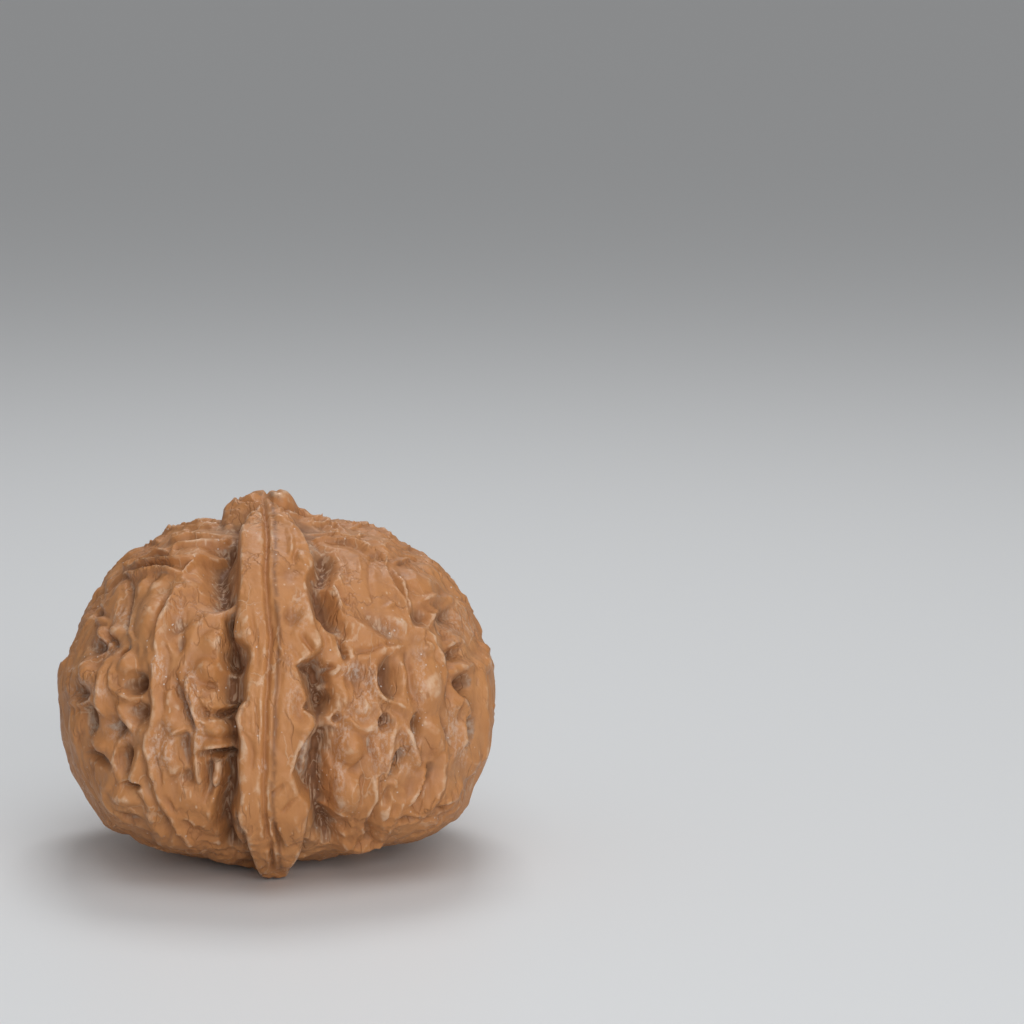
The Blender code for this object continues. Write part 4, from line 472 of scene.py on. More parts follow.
# The shell's surface without its relief, for unit directions from the centre
def bareShell(way):
    body = bodyRadius(way)
    body += swell(centre + way * body[:, None])
    keel = keelRadius(way)
    crest = centre + way * np.clip(keel, body, body + nut["keelReach"])[:, None]
    rise = np.maximum(keel - body, 0) * np.maximum(keelShare(crest), crownShare(crest))
    rise *= 1 - ramp(-way[:, 2], 0.90, 0.98)
    return centre + way * (body + rise)[:, None]


# The points of the bare shell that are seen at the given places, across and up
def lift(places):
    places = np.array(places, float)
    aim = places[:, :1] * np.array([1.0, 0, 0]) + places[:, 1:] * sightUp - sightPoint
    aim /= np.linalg.norm(aim, axis=1)[:, None]
    nearest, farthest, tries = nut["sightDepths"]
    depths = nut["sightDistance"] + np.linspace(nearest, farthest, tries)
    spots = sightPoint + aim[:, None, :] * depths[None, :, None]
    out = spots - centre
    far = np.linalg.norm(out, axis=2)
    reached = bareShell((out / far[:, :, None]).reshape(-1, 3))
    gap = far - np.linalg.norm(reached - centre, axis=1).reshape(far.shape)
    met = (gap < 0).any(axis=1)
    first = np.where(met, (gap < 0).argmax(axis=1), gap.argmin(axis=1))
    rows = np.arange(len(places))
    before = np.maximum(first - 1, 0)
    back = np.where(met, gap[rows, first] / (gap[rows, first] - gap[rows, before] - 1e-9), 0)
    best = out[rows, first] * (1 - back[:, None]) + out[rows, before] * back[:, None]
    best /= np.linalg.norm(best, axis=1)[:, None]
    return bareShell(best)


# The points of the bare shell at the given turns around and up from the centre, in degrees
def wrap(places):
    turn, rise = np.radians(np.array(places, float)).T
    return bareShell(np.stack([np.sin(turn) * np.cos(rise), -np.cos(turn) * np.cos(rise), np.sin(rise)], 1))


# 0 off a line and 1 on it, for the points near it
def lineShare(points, path, halfWidth, lean):
    reach = halfWidth * (1 + abs(lean))
    low, high = path.min(axis=0) - reach, path.max(axis=0) + reach
    near = np.nonzero(((points > low) & (points < high)).all(axis=1))[0]
    if len(near) == 0:
        return near, np.zeros(0)
    spot = points[near]
    start, run = path[:-1], path[1:] - path[:-1]
    length = np.linalg.norm(run, axis=1)
    offset = spot[:, None, :] - start[None]
    along = np.clip((offset * run).sum(axis=2) / np.maximum(length ** 2, 1e-9), 0, 1)
    away = offset - along[:, :, None] * run[None]
    distance = np.linalg.norm(away, axis=2)
    best = distance.argmin(axis=1)
    rows = np.arange(len(near))
    miss = away[rows, best]
    side = np.sign((np.cross(run[best], spot - centre) * miss).sum(axis=1)) * -1
    t = np.clip(distance[rows, best] / (halfWidth * (1 + lean * side)), 0, 1)
    before = np.concatenate([[0], np.cumsum(length)])
    travelled = before[best] + along[rows, best] * length[best]
    end = min(1.6, before[-1] / 3)
    fade = ramp(np.minimum(travelled, before[-1] - travelled), -0.4 * end, end)
    crest = (1 - t) ** 1.5 if lean else (1 - t * t) ** 2
    return near, crest * fade


# Unit ways out of, across and up the surface at a point of it
def facing(middle):
    out = (middle - centre) / np.linalg.norm(middle - centre)
    side = np.cross([0, 0, 1.0], out)
    side /= max(np.linalg.norm(side), 1e-6)
    return out, side, np.cross(out, side)


# 0 outside a round place of the surface and 1 in its middle
def spotShare(points, middle, reachAcross, reachUp, tilt):
    _, side, rise = facing(middle)
    turn = radians(tilt)
    reachAcross *= nut["spotBreadth"]
    reachUp *= nut["spotBreadth"]
    near = np.nonzero(np.linalg.norm(points - middle, axis=1) < 1.2 * max(reachAcross, reachUp))[0]
    away = points[near] - middle
    right, high = away @ side, away @ rise
    u = (right * cos(turn) + high * sin(turn)) / reachAcross
    v = (high * cos(turn) - right * sin(turn)) / reachUp
    return near, np.clip(1 - (u * u + v * v), 0, 1) ** 2


# How far the surface rises or sinks where the lines and spots run
def relief(points, lines, spots):
    raised = np.zeros(len(points))
    sunk = np.zeros(len(points))
    made = []
    for height, width, lean, path in lines:
        if height > 0:
            height *= nut["plateRise"] if lean else nut["lineRise"]
            width *= 1 if lean else nut["lineBreadth"]
        made.append((height, lineShare(points, path, width, lean)))
    made += [(nut["spotRise"] * height, spotShare(points, *place)) for height, *place in spots]
    for height, (near, share) in made:
        into = raised if height > 0 else sunk
        into[near] += (abs(height) * share) ** nut["blendPower"]
    return raised ** (1 / nut["blendPower"]) - sunk ** (1 / nut["blendPower"])


# The front face's lines and spots, on the bare shell
def frontRelief():
    groups = [tipLines, leftShoulderLines, leftLines, rightShoulderLines, rightLines, keelLines]
    lines = [(height, width, lean, lift(spread(line)))
             for group in groups for height, width, lean, line in group]
    spots = []
    for height, across, up, reachAcross, reachUp, tilt in leftSpots + rightSpots + keelSpots:
        middle = lift([(across, up)])[0]
        out, side, rise = facing(middle)
        reachAcross /= max(0.45, abs(side[0]))
        reachUp /= max(0.45, np.linalg.norm(sightUp - (sightUp @ out) * out))
        spots.append((height, middle, reachAcross, reachUp, tilt))
    return lines, spots


# Folds that run down from the tip
def crownRelief():
    folds = [(height, width, 0.0, wrap(spread(fold, nut["wrapStep"]))) for height, width, fold in crownFolds]
    return folds, []


# Seeded ribs that run up and down both flanks, with creases and pits between them
def flankRelief(draw):
    lines, spots = [], []
    for side in (1, -1):
        around, last = nut["flankTurns"]
        while around < last:
            rises = np.linspace(*nut["flankRises"], nut["ribPoints"])
            sway = np.cumsum(draw.normal(0, nut["ribSway"], nut["ribPoints"]))
            rib = [(side * (around + turn), rise) for turn, rise in zip(sway - sway.mean(), rises)]
            start, stop = draw.integers(0, 3), draw.integers(nut["ribPoints"] - 3, nut["ribPoints"] + 1)
            lines.append((draw.uniform(*nut["ribHeights"]), draw.uniform(*nut["ribWidths"]), 0.0,
                          wrap(spread(rib[start:stop], nut["wrapStep"]))))
            gap = draw.uniform(*nut["ribGaps"])
            strays = draw.uniform(-nut["pitSway"], nut["pitSway"], nut["ribPoints"])
            for rise in np.linspace(*nut["pitRises"], nut["ribPoints"]) + strays:
                middle = wrap([(side * (around + 0.5 * gap + draw.normal(0, 1)), rise)])[0]
                height = draw.choice(nut["pitHeights"])
                spots.append((height, middle, draw.uniform(*nut["pitWidths"]), draw.uniform(*nut["pitTalls"]),
                              draw.uniform(-nut["pitTilt"], nut["pitTilt"])))
                if draw.uniform() < nut["bridgeChance"]:
                    ends = [(side * (around + 0.5), rise + 4), (side * (around + gap), rise + 7)]
                    bridge = wrap(spread(ends, nut["wrapStep"]))
                    lines.append((draw.uniform(*nut["bridgeHeights"]), nut["bridgeWidth"], 0.0, bridge))
            around += gap
    return lines, spots


# The stalk's scar under the shell, with its rim, its ribs and the lumps that it rests on
def soleRelief():
    spots = [(-nut["scarDepth"], wrap([(0, -90)])[0], *nut["scarReaches"], 0.0)]
    for turn in nut["soleLumps"]:
        lump = wrap([(turn, nut["soleLumpRise"])])[0]
        spots.append((nut["soleLumpHeight"], lump, *nut["soleLumpReaches"], 0.0))
    rim = [(turn, -90 + nut["scarRim"] + 2 * sin(radians(3 * turn))) for turn in range(0, 361, 20)]
    lines = [(0.5, 1.0, 0.0, wrap(rim))]
    for k in range(nut["soleRibs"]):
        turn = (k + 0.5) * 360 / nut["soleRibs"]
        rib = spread([(turn, -70), (turn + 3, -60), (turn - 2, -48)], nut["wrapStep"])
        lines.append((0.5 if k % 2 else -0.4, 0.9, 0.0, wrap(rib)))
    return lines, spots


# 1 on the wrinkled shell and less on the smooth places of the front
def calmShare(base):
    calm = np.ones(len(base))
    across, up = seen(base)
    for middle, level, wide, tall in smoothPlaces:
        inside = ((across - middle) / wide) ** 2 + ((up - level) / tall) ** 2
        calm *= 1 - nut["smoothCalm"] * (1 - ramp(inside, 0.4, 1.4)) * (base[:, 1] < 0)
    return calm


# The bare shell's points swayed a little, so that no line runs too evenly
def swayed(base):
    return drift(base, *nut["lineDrift"], nut["grainSeed"])


# The same points turned half round and moved about, where the back takes the front's lines from
def turnedBack(base):
    moved = drift(base * [-1, -1, 1], nut["backSpan"], nut["backDrift"], nut["grainSeed"] + 20)
    return drift(moved, *nut["backLineDrift"], nut["grainSeed"])


# Where the seam runs on the front and, less evenly, on the back
def seamPlaces(base):
    return drift(base, 3, 0.05, 3), drift(base * [-1, -1, 1], 7, 0.25, 5)


# The finished shell's points, for unit directions from the centre
def wrinkled(way, front):
    base = bareShell(way)
    draw = np.random.default_rng(nut["grainSeed"])
    lines, spots = front
    height = relief(swayed(base), lines, spots)

    # The back has the same kinds of line and spot, moved about and of other heights
    varied = [[(draw.uniform(*nut["backShares"]) * heightOf, *rest) for heightOf, *rest in group]
              for group in (lines, spots)]
    height += relief(turnedBack(base), *varied)
    height += relief(base, *crownRelief())
    height += relief(drift(base, *nut["flankDrift"], nut["grainSeed"] + 40), *flankRelief(draw))
    height += relief(drift(base, *nut["flankDrift"], nut["grainSeed"] + 50), *soleRelief())

    # The seam's narrow groove runs right round
    seam = lift(spread(seamLine))
    for place in seamPlaces(base):
        near, share = lineShare(place, seam, nut["seamWidth"], 0.0)
        height[near] -= nut["seamDepth"] * share

    # Soft wrinkles that run up and down, calmer on the smooth places
    calm = calmShare(base)
    upright = drift(base, 6.0, 0.8, 31) * [1, 1, 0.5]
    for rise, length, seed in wrinkles:
        height += calm * rise * (np.abs(waves(upright, length, seed)) - 0.5)

    # The rims of the halves, handled most, are the smoothest
    out = base - centre
    radius = np.linalg.norm(out, axis=1)
    out /= radius[:, None]
    rim = (1 - ramp(np.abs(out @ sightOut), 0.15, 0.5)) * ramp(np.abs(out[:, 0]), 0.25, 0.5)
    radius += height * (1 - nut["rimCalm"] * rim)
    return centre + way * radius[:, None]


# Unit directions over a ball and the four-sided faces that join them, from a cube's six faces
def ball(steps):
    turn = np.tan(np.linspace(-np.pi / 4, np.pi / 4, steps + 1))
    u, v = (grid.ravel() for grid in np.meshgrid(turn, turn, indexing="ij"))
    one = np.ones_like(u)
    sides = [(one, u, v), (-one, v, u), (v, one, u), (u, -one, v), (u, v, one), (v, u, -one)]
    points = np.vstack([np.stack(side, axis=1) for side in sides])
    points /= np.linalg.norm(points, axis=1)[:, None]
    corner = np.arange(steps)[:, None] * (steps + 1) + np.arange(steps)[None]
    a, b, c, d = corner, corner + steps + 1, corner + steps + 2, corner + 1
    tile = np.stack([a, b, c, d], axis=-1).reshape(-1, 4)
    faces = np.vstack([tile + k * (steps + 1) ** 2 for k in range(6)])
    _, first, same = np.unique(np.round(points, 6), axis=0, return_index=True, return_inverse=True)
    return points[first], same.ravel()[faces]


# Two triangles for each four-sided face, split along its shorter diagonal
def halved(points, quads):
    a, b, c, d = quads.T
    split = np.linalg.norm(points[a] - points[c], axis=1) < np.linalg.norm(points[b] - points[d], axis=1)
    near = np.where(split[:, None], np.stack([a, b, c], 1), np.stack([a, b, d], 1))
    far = np.where(split[:, None], np.stack([a, c, d], 1), np.stack([b, c, d], 1))
    return np.vstack([near, far])


# Puts the middle of the shell's footprint over the origin
def recentre(points):
    low, high = points.min(axis=0), points.max(axis=0)
    return points - [(low[0] + high[0]) / 2, (low[1] + high[1]) / 2, 0]


# Thin sharp edges along the raised lines, front and back
def thinEdges(base, lines):
    edges = np.zeros(len(base))
    for place in (swayed(base), turnedBack(base)):
        for height, _, _, path in lines:
            if height > 0:
                near, share = lineShare(place, path, nut["edgeWidth"], 0.0)
                edges[near] = np.maximum(edges[near], share)
    return edges * np.clip(0.55 + 0.6 * waves(base, 3.2, 95), 0, 1)


# Fine creases that run up and down and come and go
def fineCreases(points):
    along = drift(points, 3.0, 0.4, 71) * [1, 1, 0.45]
    fine = 0.5 - np.abs(waves(along, 1.15, 81, 40))
    return nut["creaseHeight"] * fine * np.clip(0.6 + 0.5 * waves(points, 5.0, 91), 0, 1)


# Thin ledges along the front's shoulders, one behind the other
def shoulderLedges(way, points):
    bowed = drift(points, 6.0, 0.7, 61)
    off = np.abs((bowed[:, 1] / nut["ledgeStep"]) % 1 - 0.5)
    ledges = np.clip(1 - off / nut["ledgeWidth"], 0, 1) ** 1.5
    ledges *= np.clip(0.55 + 0.7 * waves(points, 4.0, 63), 0, 1)
    ahead = way @ sightOut
    shoulder = ramp(ahead, -0.45, -0.25) * ramp(ahead, 0.56, 0.4) * ramp(way[:, 2], 0.12, 0.35)
    return nut["ledgeHeight"] * ledges * shoulder * ramp(np.abs(points[:, 0]), 4.5, 6.5)


# Seeded pin holes, as a depth at each point
def pinHoles(way, points):
    draw = np.random.default_rng(nut["grainSeed"] + 90)
    seeds = draw.normal(size=(nut["poreCount"], 3))
    seeds /= np.linalg.norm(seeds, axis=1)[:, None]
    depth = np.zeros(len(way))
    for seed in seeds:
        near = np.nonzero(way @ seed > nut["poreSpan"])[0]
        if len(near):
            away = np.linalg.norm(points[near] - points[near].mean(axis=0), axis=1)
            depth[near] += nut["poreDepth"] * np.clip(1 - (away / nut["poreReach"]) ** 2, 0, 1)
    return depth


# The fine detail that only shows close up, added to the wrinkled shell
def fineWrinkles(way, points, lines):
    height = nut["edgeHeight"] * thinEdges(bareShell(way), lines) + fineCreases(points)
    height += shoulderLedges(way, points)
    height -= pinHoles(way, points)
    return points + way * height[:, None]


# The dressed shell's mesh, with the middle of its footprint over the origin
def fineMesh():
    way, quads = ball(nut["steps"])
    front = frontRelief()
    print("wrinkles laid out")
    points = fineWrinkles(way, wrinkled(way, front), front[0])
    points[:, 2] = np.maximum(points[:, 2], 0)
    faces = halved(points, quads)
    points = recentre(points)
    mesh = bpy.data.meshes.new("fineShell")
    mesh.from_pydata((points * mm).tolist(), [], faces.tolist())
    holder = bpy.data.objects.new("fineShell", mesh)
    bpy.context.collection.objects.link(holder)
    fewer = holder.modifiers.new("fewer", "DECIMATE")
    fewer.ratio = nut["triangles"] / len(faces)
    ready = holder.evaluated_get(bpy.context.evaluated_depsgraph_get())
    light = bpy.data.meshes.new_from_object(ready)
    bpy.data.objects.remove(holder)
    print("shell", len(light.vertices), "points", np.round(np.ptp(points, axis=0), 2), "mm")
    return light


# Where pale dust sits on each face: across, up, reach each way and how much
chalkPlaces = [
    (7.3, 16.8, 0.8, 0.6, 0.9), (9, 15.6, 0.5, 1.3, 1), (8, 13.5, 0.9, 1, 0.6),
    (16.7, 11.5, 0.5, 1.3, 0.7), (17.5, 9.3, 0.5, 1.1, 0.7), (12.5, 9.4, 0.8, 1.6, 0.6),
    (-11.2, 17.3, 0.5, 0.9, 1), (-10.5, 10, 0.5, 1.6, 0.9), (-11.6, 9.5, 0.6, 1.4, 0.7),
    (-8.2, 14.6, 0.5, 2, 0.9), (-7.6, 11.4, 0.5, 1.4, 0.8), (6.2, 11.4, 0.6, 1.2, 0.8),
    (5.9, 7.6, 0.4, 3, 0.7), (13.7, 16.2, 0.4, 2.4, 0.6), (10, 9.6, 1, 2.2, 0.6),
    (-18, 15.1, 1.4, 0.7, 0.6), (-16.2, 19.3, 1, 0.6, 0.7), (-14.6, 22.2, 0.7, 0.7, 0.6),
    (-14.8, 11.4, 1, 0.9, 0.5), (-9.2, 22.4, 0.25, 1.2, 0.6), (-19.5, 17.2, 0.3, 0.2, 1.2),
    (1.6, 14.2, 0.6, 1.2, 0.5), (2.7, 9.8, 0.3, 0.6, 0.7), (-1.5, 7.8, 0.35, 0.4, 0.9),
    (-1.6, 22.2, 0.25, 0.4, 0.8), (2.4, 22.6, 0.7, 1.4, 0.45), (1.3, 17.4, 0.2, 1.3, 0.5),
    (17.4, 21.2, 1.2, 1.2, 0.45), (11, 20.9, 1.4, 0.7, 0.4), (-5, 22.4, 1.2, 0.25, 0.4),
]


# How much pale dust lies at each point
def chalkMask(points):
    total = np.zeros(len(points))
    for face in (1, -1):
        across, up = seen(points * [face, face, 1])
        outward = ramp(-face * points[:, 1], 0.0, 4.0)
        for middle, level, wide, tall, amount in chalkPlaces:
            inside = ((across - middle) / (2 * wide)) ** 2 + ((up - level) / (2 * tall)) ** 2
            total = np.maximum(total, amount * outward * (1 - ramp(inside, 0.0, 1.0)))
    return np.clip(total, 0, 1)


# A dark line close beside the seam's groove, on the front and the back
def seamMask(points):
    out = points - centre
    base = bareShell(out / np.linalg.norm(out, axis=1)[:, None])
    seam = lift(spread(seamLine))
    total = np.zeros(len(points))
    for place in seamPlaces(base):
        near, share = lineShare(place, seam, nut["seamInk"], 0.0)
        total[near] = np.maximum(total[near], share)
    return total


# How high each point stands over its surroundings, near and wide, for dust, the pale crest lines (partly from
# rubbing, partly a painted highlight) and painted shade in the hollows and creases
def heightMasks(mesh):
    points = np.empty(len(mesh.vertices) * 3)
    mesh.vertices.foreach_get("co", points)
    points = points.reshape(-1, 3) / mm
    edges = np.empty(len(mesh.edges) * 2, int)
    mesh.edges.foreach_get("vertices", edges)
    a, b = edges.reshape(-1, 2).T
    normals = np.empty(len(mesh.vertices) * 3)
    mesh.vertices.foreach_get("normal", normals)
    normals = normals.reshape(-1, 3)
    count = np.bincount(np.concatenate([a, b]), minlength=len(points))
    places = points.copy()
    found = {}
    size = len(points)
    for turn in range(1, nut["wideBlur"] + 1):
        sums = [np.bincount(a, axis[b], size) + np.bincount(b, axis[a], size) for axis in places.T]
        places = 0.5 * places + 0.5 * np.stack(sums, axis=1) / count[:, None]
        if turn in (nut["nearBlur"], nut["wideBlur"]):
            found[turn] = ((points - places) * normals).sum(axis=1)
    near, wide = found[nut["nearBlur"]] / nut["nearHeight"], found[nut["wideBlur"]] / nut["wideHeight"]
    for name, value in (
        ("crest", np.clip(near, 0, 1)),
        ("crease", np.clip(-near, 0, 1)),
        ("hollow", np.clip(-wide, 0, 1)),
        ("rise", np.clip(wide, 0, 1)),
        ("chalk", chalkMask(points)),
        ("seam", seamMask(points)),
    ):
        mesh.attributes.new(name, "FLOAT", "POINT").data.foreach_set("value", value.astype(np.float32))
        print("mask", name, round(float(value.mean()), 3))


# What the shell's colouring is made of, with painted shade in its hollows and creases and a painted highlight
# on its crests: its colours, how much of each layer shows, and its shine
finishAndPaintedLight = {
    "brown": (0.405, 0.174, 0.063, 1),
    "tan": (0.46, 0.218, 0.086, 1),
    "umber": (0.28, 0.114, 0.043, 1),
    "amber": (0.46, 0.194, 0.062, 1),
    # Painted shade for the hollows, over their own darker colour; the darkest also draws the dark line by the
    # seam
    "shade": (0.205, 0.112, 0.060, 1),
    "deepShadeAndSeam": (0.085, 0.030, 0.012, 1),
    "dust": (0.40, 0.30, 0.23, 1),
    # Pale for streaks, cracks and fibres, and for the crest lines, partly from rubbing and partly a painted
    # highlight
    "rubbedAndGlint": (0.66, 0.47, 0.32, 1),
    "speck": (0.74, 0.68, 0.62, 1),
    "stainShare": 0.55,
    "strokeShare": 0.35,
    "amberShare": 0.6,
    "shadeShare": 0.62,
    "deepShadeShare": 0.8,
    "creaseShare": 0.4,
    "dustShare": 0.7,
    "streakShare": 0.35,
    "wearAndGlintShare": 0.6,
    "crackShare": 0.28,
    "chalkShare": 0.34,
    "foldShare": 0.5,
    "fibreShare": 0.5,
    "seamShare": 0.6,
    "speckShare": 0.6,
    "polish": 0.52,  # roughness
    "shine": 0.34,
    "coat": 0.04,
    "coatBlur": 0.3,
    "hollowDullness": 0.22,
    "dustDullness": 0.2,
    "crestGloss": 0.16,
    "fineHeight": 0.6,
    "coarseHeight": 1.2,
    "speckHeight": 0.3,
    "foldDepth": 0.7,
    "bump": 0.6,
    "bumpDepth": 0.16,  # mm
    "crackGap": 3.4,
    "crackLength": 6.0,
    "crackBend": 1.1,
    "strands": (1250, 330),  # a metre, across and upright
    "specks": (1500, 1500),
}
# The finish's noises: size in mm, detail, upright scale (under 1 draws them out up and down) and offset
noises = {
    "mottle": (5.0, 4, 1, 0),
    "stains": (2.2, 5, 1, 3),
    "strokes": (0.8, 3, 0.3, 9),
    "dustBeds": (4.2, 3, 1, 21),
    "dustGrain": (0.5, 4, 1, 5),
    "streaks": (0.34, 2, 0.12, 81),
    "streakPlaces": (3.4, 2, 1, 91),
    "wearAndGlint": (1.6, 4, 1, 14),
    "crackPlaces": (5.0, 2, 1, 41),
    "chalkGrain": (0.32, 5, 0.6, 17),
    "folds": (2.4, 3, 0.35, 61),
    "foldPlaces": (4.5, 2, 1, 71),
    "fibrePlaces": (3.6, 3, 1, 51),
    "speckPlaces": (3.0, 2, 1, 33),
    "handling": (1.4, 4, 1, 2),
    "fineGrain": (0.45, 5, 0.5, 4),
    "coarseGrain": (1.3, 4, 0.4, 8),
}


def shellMaterial():
    made = bpy.data.materials.new("polishedShell")
    made.use_nodes = True
    nodes, links = made.node_tree.nodes, made.node_tree.links
    shader = nodes["Principled BSDF"]
    shader.inputs["Coat Weight"].default_value = finishAndPaintedLight["coat"]
    shader.inputs["Coat Roughness"].default_value = finishAndPaintedLight["coatBlur"]
    shader.inputs["Specular IOR Level"].default_value = finishAndPaintedLight["shine"]
    place = nodes.new("ShaderNodeTexCoord").outputs["Object"]

    def feed(node, socket, value):
        if isinstance(value, bpy.types.NodeSocket):
            links.new(value, node.inputs[socket])
        else:
            node.inputs[socket].default_value = value

    def put(kind, **inputs):
        node = nodes.new(kind)
        for name, value in inputs.items():
            feed(node, name, value)
        return node

    def scaled(across, upright):
        return put("ShaderNodeMapping", Vector=place, Scale=(across, across, upright))

    def noise(name, rough=0.55):
        size, detail, upright, offset = noises[name]
        moved = scaled(1 / (size * mm), upright / (size * mm))
        feed(moved, "Location", (offset, offset * 0.7, offset * 1.3))
        node = put("ShaderNodeTexNoise", Vector=moved.outputs[0], Scale=1.0, Detail=detail, Roughness=rough)
        return node.outputs["Fac"]

    def span(value, low, high, start=0.0, stop=1.0):
        node = put("ShaderNodeMapRange", Value=value)
        node.interpolation_type = "SMOOTHSTEP"
        for name, number in (("From Min", low), ("From Max", high), ("To Min", start), ("To Max", stop)):
            node.inputs[name].default_value = number
        return node.outputs[0]

    def sums(operation, first, second, clamp=False):
        node = nodes.new("ShaderNodeMath")
        node.operation = operation
        node.use_clamp = clamp
        feed(node, 0, first)
        feed(node, 1, second)
        return node.outputs[0]

    def times(first, second, clamp=False):
        return sums("MULTIPLY", first, second, clamp)

    def mask(name):
        node = nodes.new("ShaderNodeAttribute")
        node.attribute_name = name
        return node.outputs["Fac"]

    def over(base, colour, share):
        node = nodes.new("ShaderNodeMix")
        node.data_type = "RGBA"
        feed(node, 0, share)
        feed(node, 6, base)
        feed(node, 7, finishAndPaintedLight[colour])
        return node.outputs[2]

    crest, crease, hollow, rise = (mask(name) for name in ("crest", "crease", "hollow", "rise"))
    colour = over(finishAndPaintedLight["brown"], "tan", span(noise("mottle"), 0.35, 0.68))
    colour = over(colour, "umber", span(noise("stains"), 0.5, 0.78, 0, finishAndPaintedLight["stainShare"]))
    colour = over(colour, "umber", times(span(noise("strokes"), 0.45, 0.7), finishAndPaintedLight["strokeShare"]))
    colour = over(colour, "amber", span(rise, 0.05, 0.6, 0, finishAndPaintedLight["amberShare"]))
    # Painted shade: the hollows are darkened, the deepest nearly black, and so are the fine creases, over the
    # shell's own darker colour there
    colour = over(colour, "shade", span(hollow, 0.06, 0.5, 0, finishAndPaintedLight["shadeShare"]))
    colour = over(colour, "deepShadeAndSeam", span(hollow, 0.55, 1.0, 0, finishAndPaintedLight["deepShadeShare"]))
    colour = over(colour, "umber", times(crease, finishAndPaintedLight["creaseShare"]))
    # Grey dust lies in the hollows in patches
    patches = times(span(noise("dustBeds"), 0.48, 0.62), span(noise("dustGrain"), 0.35, 0.65))
    resting = times(span(hollow, 0.08, 0.4), span(hollow, 0.95, 0.6))
    dusty = times(times(patches, resting), finishAndPaintedLight["dustShare"], True)
    colour = over(colour, "dust", dusty)
    # Fine upright streaks run through the hollows
    streaks = times(span(noise("streaks"), 0.5, 0.62), span(hollow, 0.03, 0.3))
    streaks = times(streaks, span(noise("streakPlaces"), 0.42, 0.56))
    colour = over(colour, "rubbedAndGlint", times(streaks, finishAndPaintedLight["streakShare"]))
    # The crests are pale in thin lines, partly from rubbing and partly a painted highlight
    wornAndGlint = times(span(crest, 0.5, 1.0), span(noise("wearAndGlint"), 0.42, 0.66))
    colour = over(colour, "rubbedAndGlint", times(wornAndGlint, finishAndPaintedLight["wearAndGlintShare"], True))
    # Fine pale cracks wander over the skin
    bent = scaled(1 / (finishAndPaintedLight["crackGap"] * mm), 1 / (finishAndPaintedLight["crackLength"] * mm))
    stray = put("ShaderNodeTexNoise", Vector=bent.outputs[0], Scale=1.1, Detail=4.0)
    pushed = nodes.new("ShaderNodeVectorMath")
    pushed.operation = "MULTIPLY_ADD"
    feed(pushed, 0, stray.outputs["Color"])
    feed(pushed, 1, (finishAndPaintedLight["crackBend"],) * 3)
    feed(pushed, 2, bent.outputs[0])
    lines = put("ShaderNodeTexVoronoi", Vector=pushed.outputs[0], Scale=1.0)
    lines.feature = "DISTANCE_TO_EDGE"
    cracks = times(span(lines.outputs["Distance"], 0.026, 0.006), span(noise("crackPlaces"), 0.5, 0.62))
    colour = over(colour, "rubbedAndGlint", times(cracks, finishAndPaintedLight["crackShare"]))
    # Chalky dust sits in its own places
    chalk = times(mask("chalk"), span(noise("chalkGrain", 0.7), 0.44, 0.62))
    colour = over(colour, "speck", times(chalk, finishAndPaintedLight["chalkShare"], True))
    # Fine creases run up and down
    folds = sums("ABSOLUTE", sums("SUBTRACT", noise("folds"), 0.5), 0.0)
    folds = times(span(folds, 0.03, 0.0), span(noise("foldPlaces"), 0.42, 0.6))
    colour = over(colour, "umber", times(folds, finishAndPaintedLight["foldShare"]))
    # Short pale fibres
    strands = scaled(*finishAndPaintedLight["strands"])
    strand = put("ShaderNodeTexVoronoi", Vector=strands.outputs[0], Scale=1.0, Randomness=1.0)
    fibres = times(span(strand.outputs["Distance"], 0.17, 0.06), span(noise("fibrePlaces"), 0.46, 0.6))
    colour = over(colour, "rubbedAndGlint", times(fibres, finishAndPaintedLight["fibreShare"]))
    colour = over(colour, "deepShadeAndSeam", times(mask("seam"), finishAndPaintedLight["seamShare"]))
    # Small pale specks
    spots = scaled(*finishAndPaintedLight["specks"])
    cells = put("ShaderNodeTexVoronoi", Vector=spots.outputs[0], Scale=1.0, Randomness=1.0)
    specks = times(span(cells.outputs["Distance"], 0.16, 0.08), span(noise("speckPlaces"), 0.52, 0.64))
    colour = over(colour, "speck", times(specks, finishAndPaintedLight["speckShare"]))
    links.new(colour, shader.inputs["Base Color"])

    # Duller in the hollows and under dust, glossier on the crests
    rough = span(noise("handling"), 0.3, 0.7, finishAndPaintedLight["polish"] - 0.06, finishAndPaintedLight["polish"] + 0.08)
    rough = sums("ADD", rough, span(hollow, 0.1, 0.8, 0, finishAndPaintedLight["hollowDullness"]))
    rough = sums("ADD", rough, times(dusty, finishAndPaintedLight["dustDullness"]))
    rough = sums("SUBTRACT", rough, span(crest, 0.4, 1.0, 0, finishAndPaintedLight["crestGloss"]))
    links.new(rough, shader.inputs["Roughness"])

    coarse = times(noise("coarseGrain"), finishAndPaintedLight["coarseHeight"])
    grain = sums("ADD", times(noise("fineGrain"), finishAndPaintedLight["fineHeight"]), coarse)
    grain = sums("ADD", grain, times(sums("ADD", specks, cracks), finishAndPaintedLight["speckHeight"]))
    grain = sums("SUBTRACT", grain, times(folds, finishAndPaintedLight["foldDepth"]))
    bump = put("ShaderNodeBump", Strength=finishAndPaintedLight["bump"], Distance=finishAndPaintedLight["bumpDepth"] * mm, Height=grain)
    links.new(bump.outputs[0], shader.inputs["Normal"])
    return made


def makeWalnut():
    mesh = fineMesh()
    heightMasks(mesh)
    mesh.shade_smooth()
    mesh.materials.append(shellMaterial())
    walnut = bpy.data.objects.new("walnutShell", mesh)
    bpy.context.collection.objects.link(walnut)
    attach(walnut, "root")
    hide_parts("walnut")


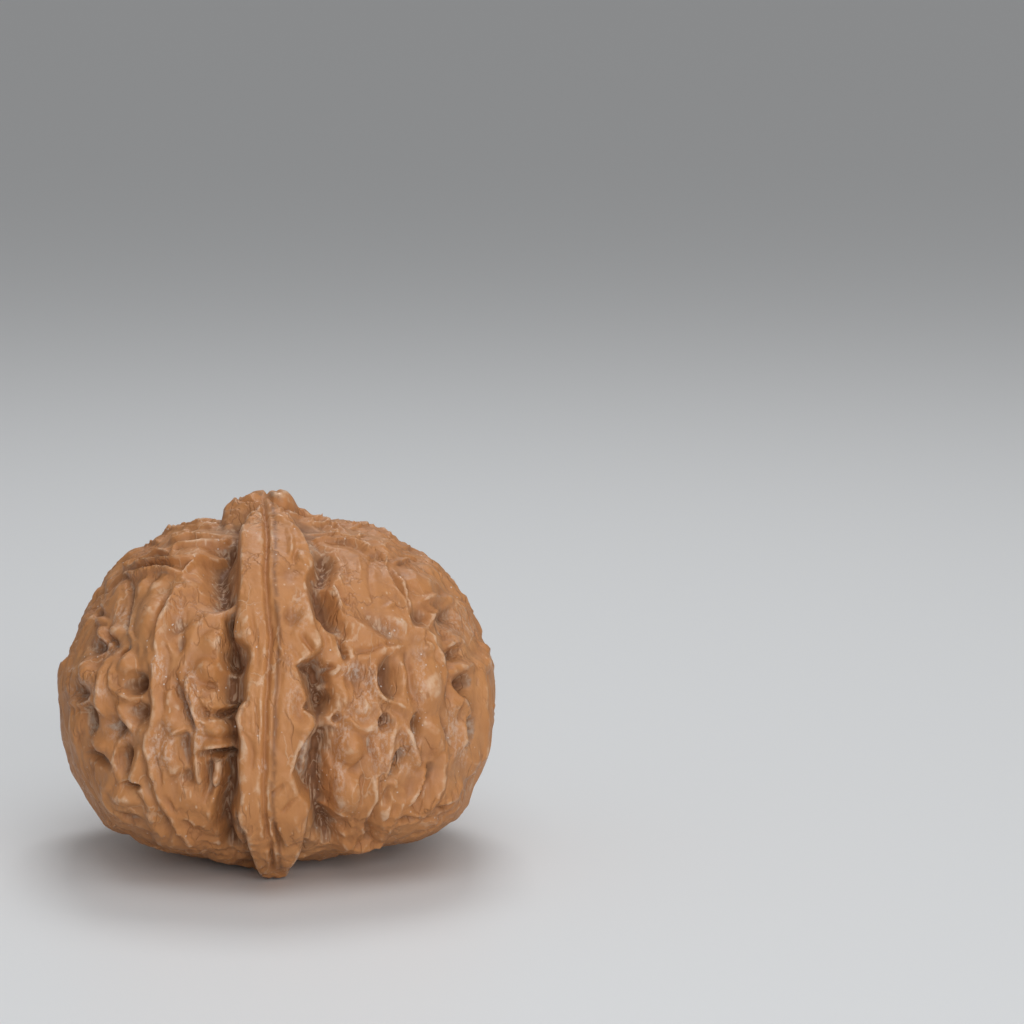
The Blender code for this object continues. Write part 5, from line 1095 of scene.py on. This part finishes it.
# Camera, table and lamps: lengths in metres, angles in degrees and powers in watts
studio = {
    "distance": 0.450,
    "rise": 11.0,
    "lens": 166.8,
    "yaw": -2.89,
    "pitch": -8.775,
    "table": (0.70, 0.716, 0.732, 1),
    "tableRoughness": 0.5,
    "surround": (0.33, 0.33, 0.33, 1),
    "aim": (0, 0, 0.018),  # where the lamps point
    "lamps": {  # power, size and place
        "key": (0.51, 0.34, (0.05, -0.15, 0.38)),
        "fill": (1.97, 0.4, (0.14, -0.49, 0.09)),
        "back": (0.5, 0.15, (0.02, 0.20, 0.36)),
    },
}


def makeCamera():
    lens = bpy.data.cameras.new("camera")
    lens.sensor_width = 36
    lens.lens = studio["lens"]
    lens.clip_start = 0.01
    camera = bpy.data.objects.new("camera", lens)
    bpy.context.collection.objects.link(camera)
    rise = radians(studio["rise"])
    middle = Vector((0, 0, nut["centreHeight"] * mm))
    camera.location = middle + studio["distance"] * Vector((0, -cos(rise), sin(rise)))
    camera.rotation_euler = (radians(90 + studio["pitch"]), 0, radians(studio["yaw"]))
    bpy.context.scene.camera = camera


def makeStudio():
    mesh = bpy.data.meshes.new("table")
    mesh.from_pydata([(-1.5, -1, 0), (1.5, -1, 0), (1.5, 2, 0), (-1.5, 2, 0)], [], [(0, 1, 2, 3)])
    table = bpy.data.objects.new("table", mesh)
    bpy.context.collection.objects.link(table)
    paint = bpy.data.materials.new("paleTable")
    paint.use_nodes = True
    shader = paint.node_tree.nodes["Principled BSDF"]
    shader.inputs["Base Color"].default_value = studio["table"]
    shader.inputs["Roughness"].default_value = studio["tableRoughness"]
    mesh.materials.append(paint)
    for name, (power, size, place) in studio["lamps"].items():
        lamp = bpy.data.lights.new(name, "AREA")
        lamp.energy = power
        lamp.size = size
        holder = bpy.data.objects.new(name, lamp)
        bpy.context.collection.objects.link(holder)
        holder.location = place
        aim = Vector(studio["aim"]) - holder.location
        holder.rotation_euler = aim.to_track_quat("-Z", "Y").to_euler()
    world = bpy.data.worlds.new("surround")
    bpy.context.scene.world = world
    world.use_nodes = True
    world.node_tree.nodes["Background"].inputs["Color"].default_value = studio["surround"]
    bpy.context.scene.view_settings.view_transform = "Standard"


makeWalnut()
print("walnut ready")
makeCamera()
makeStudio()
print("studio ready")
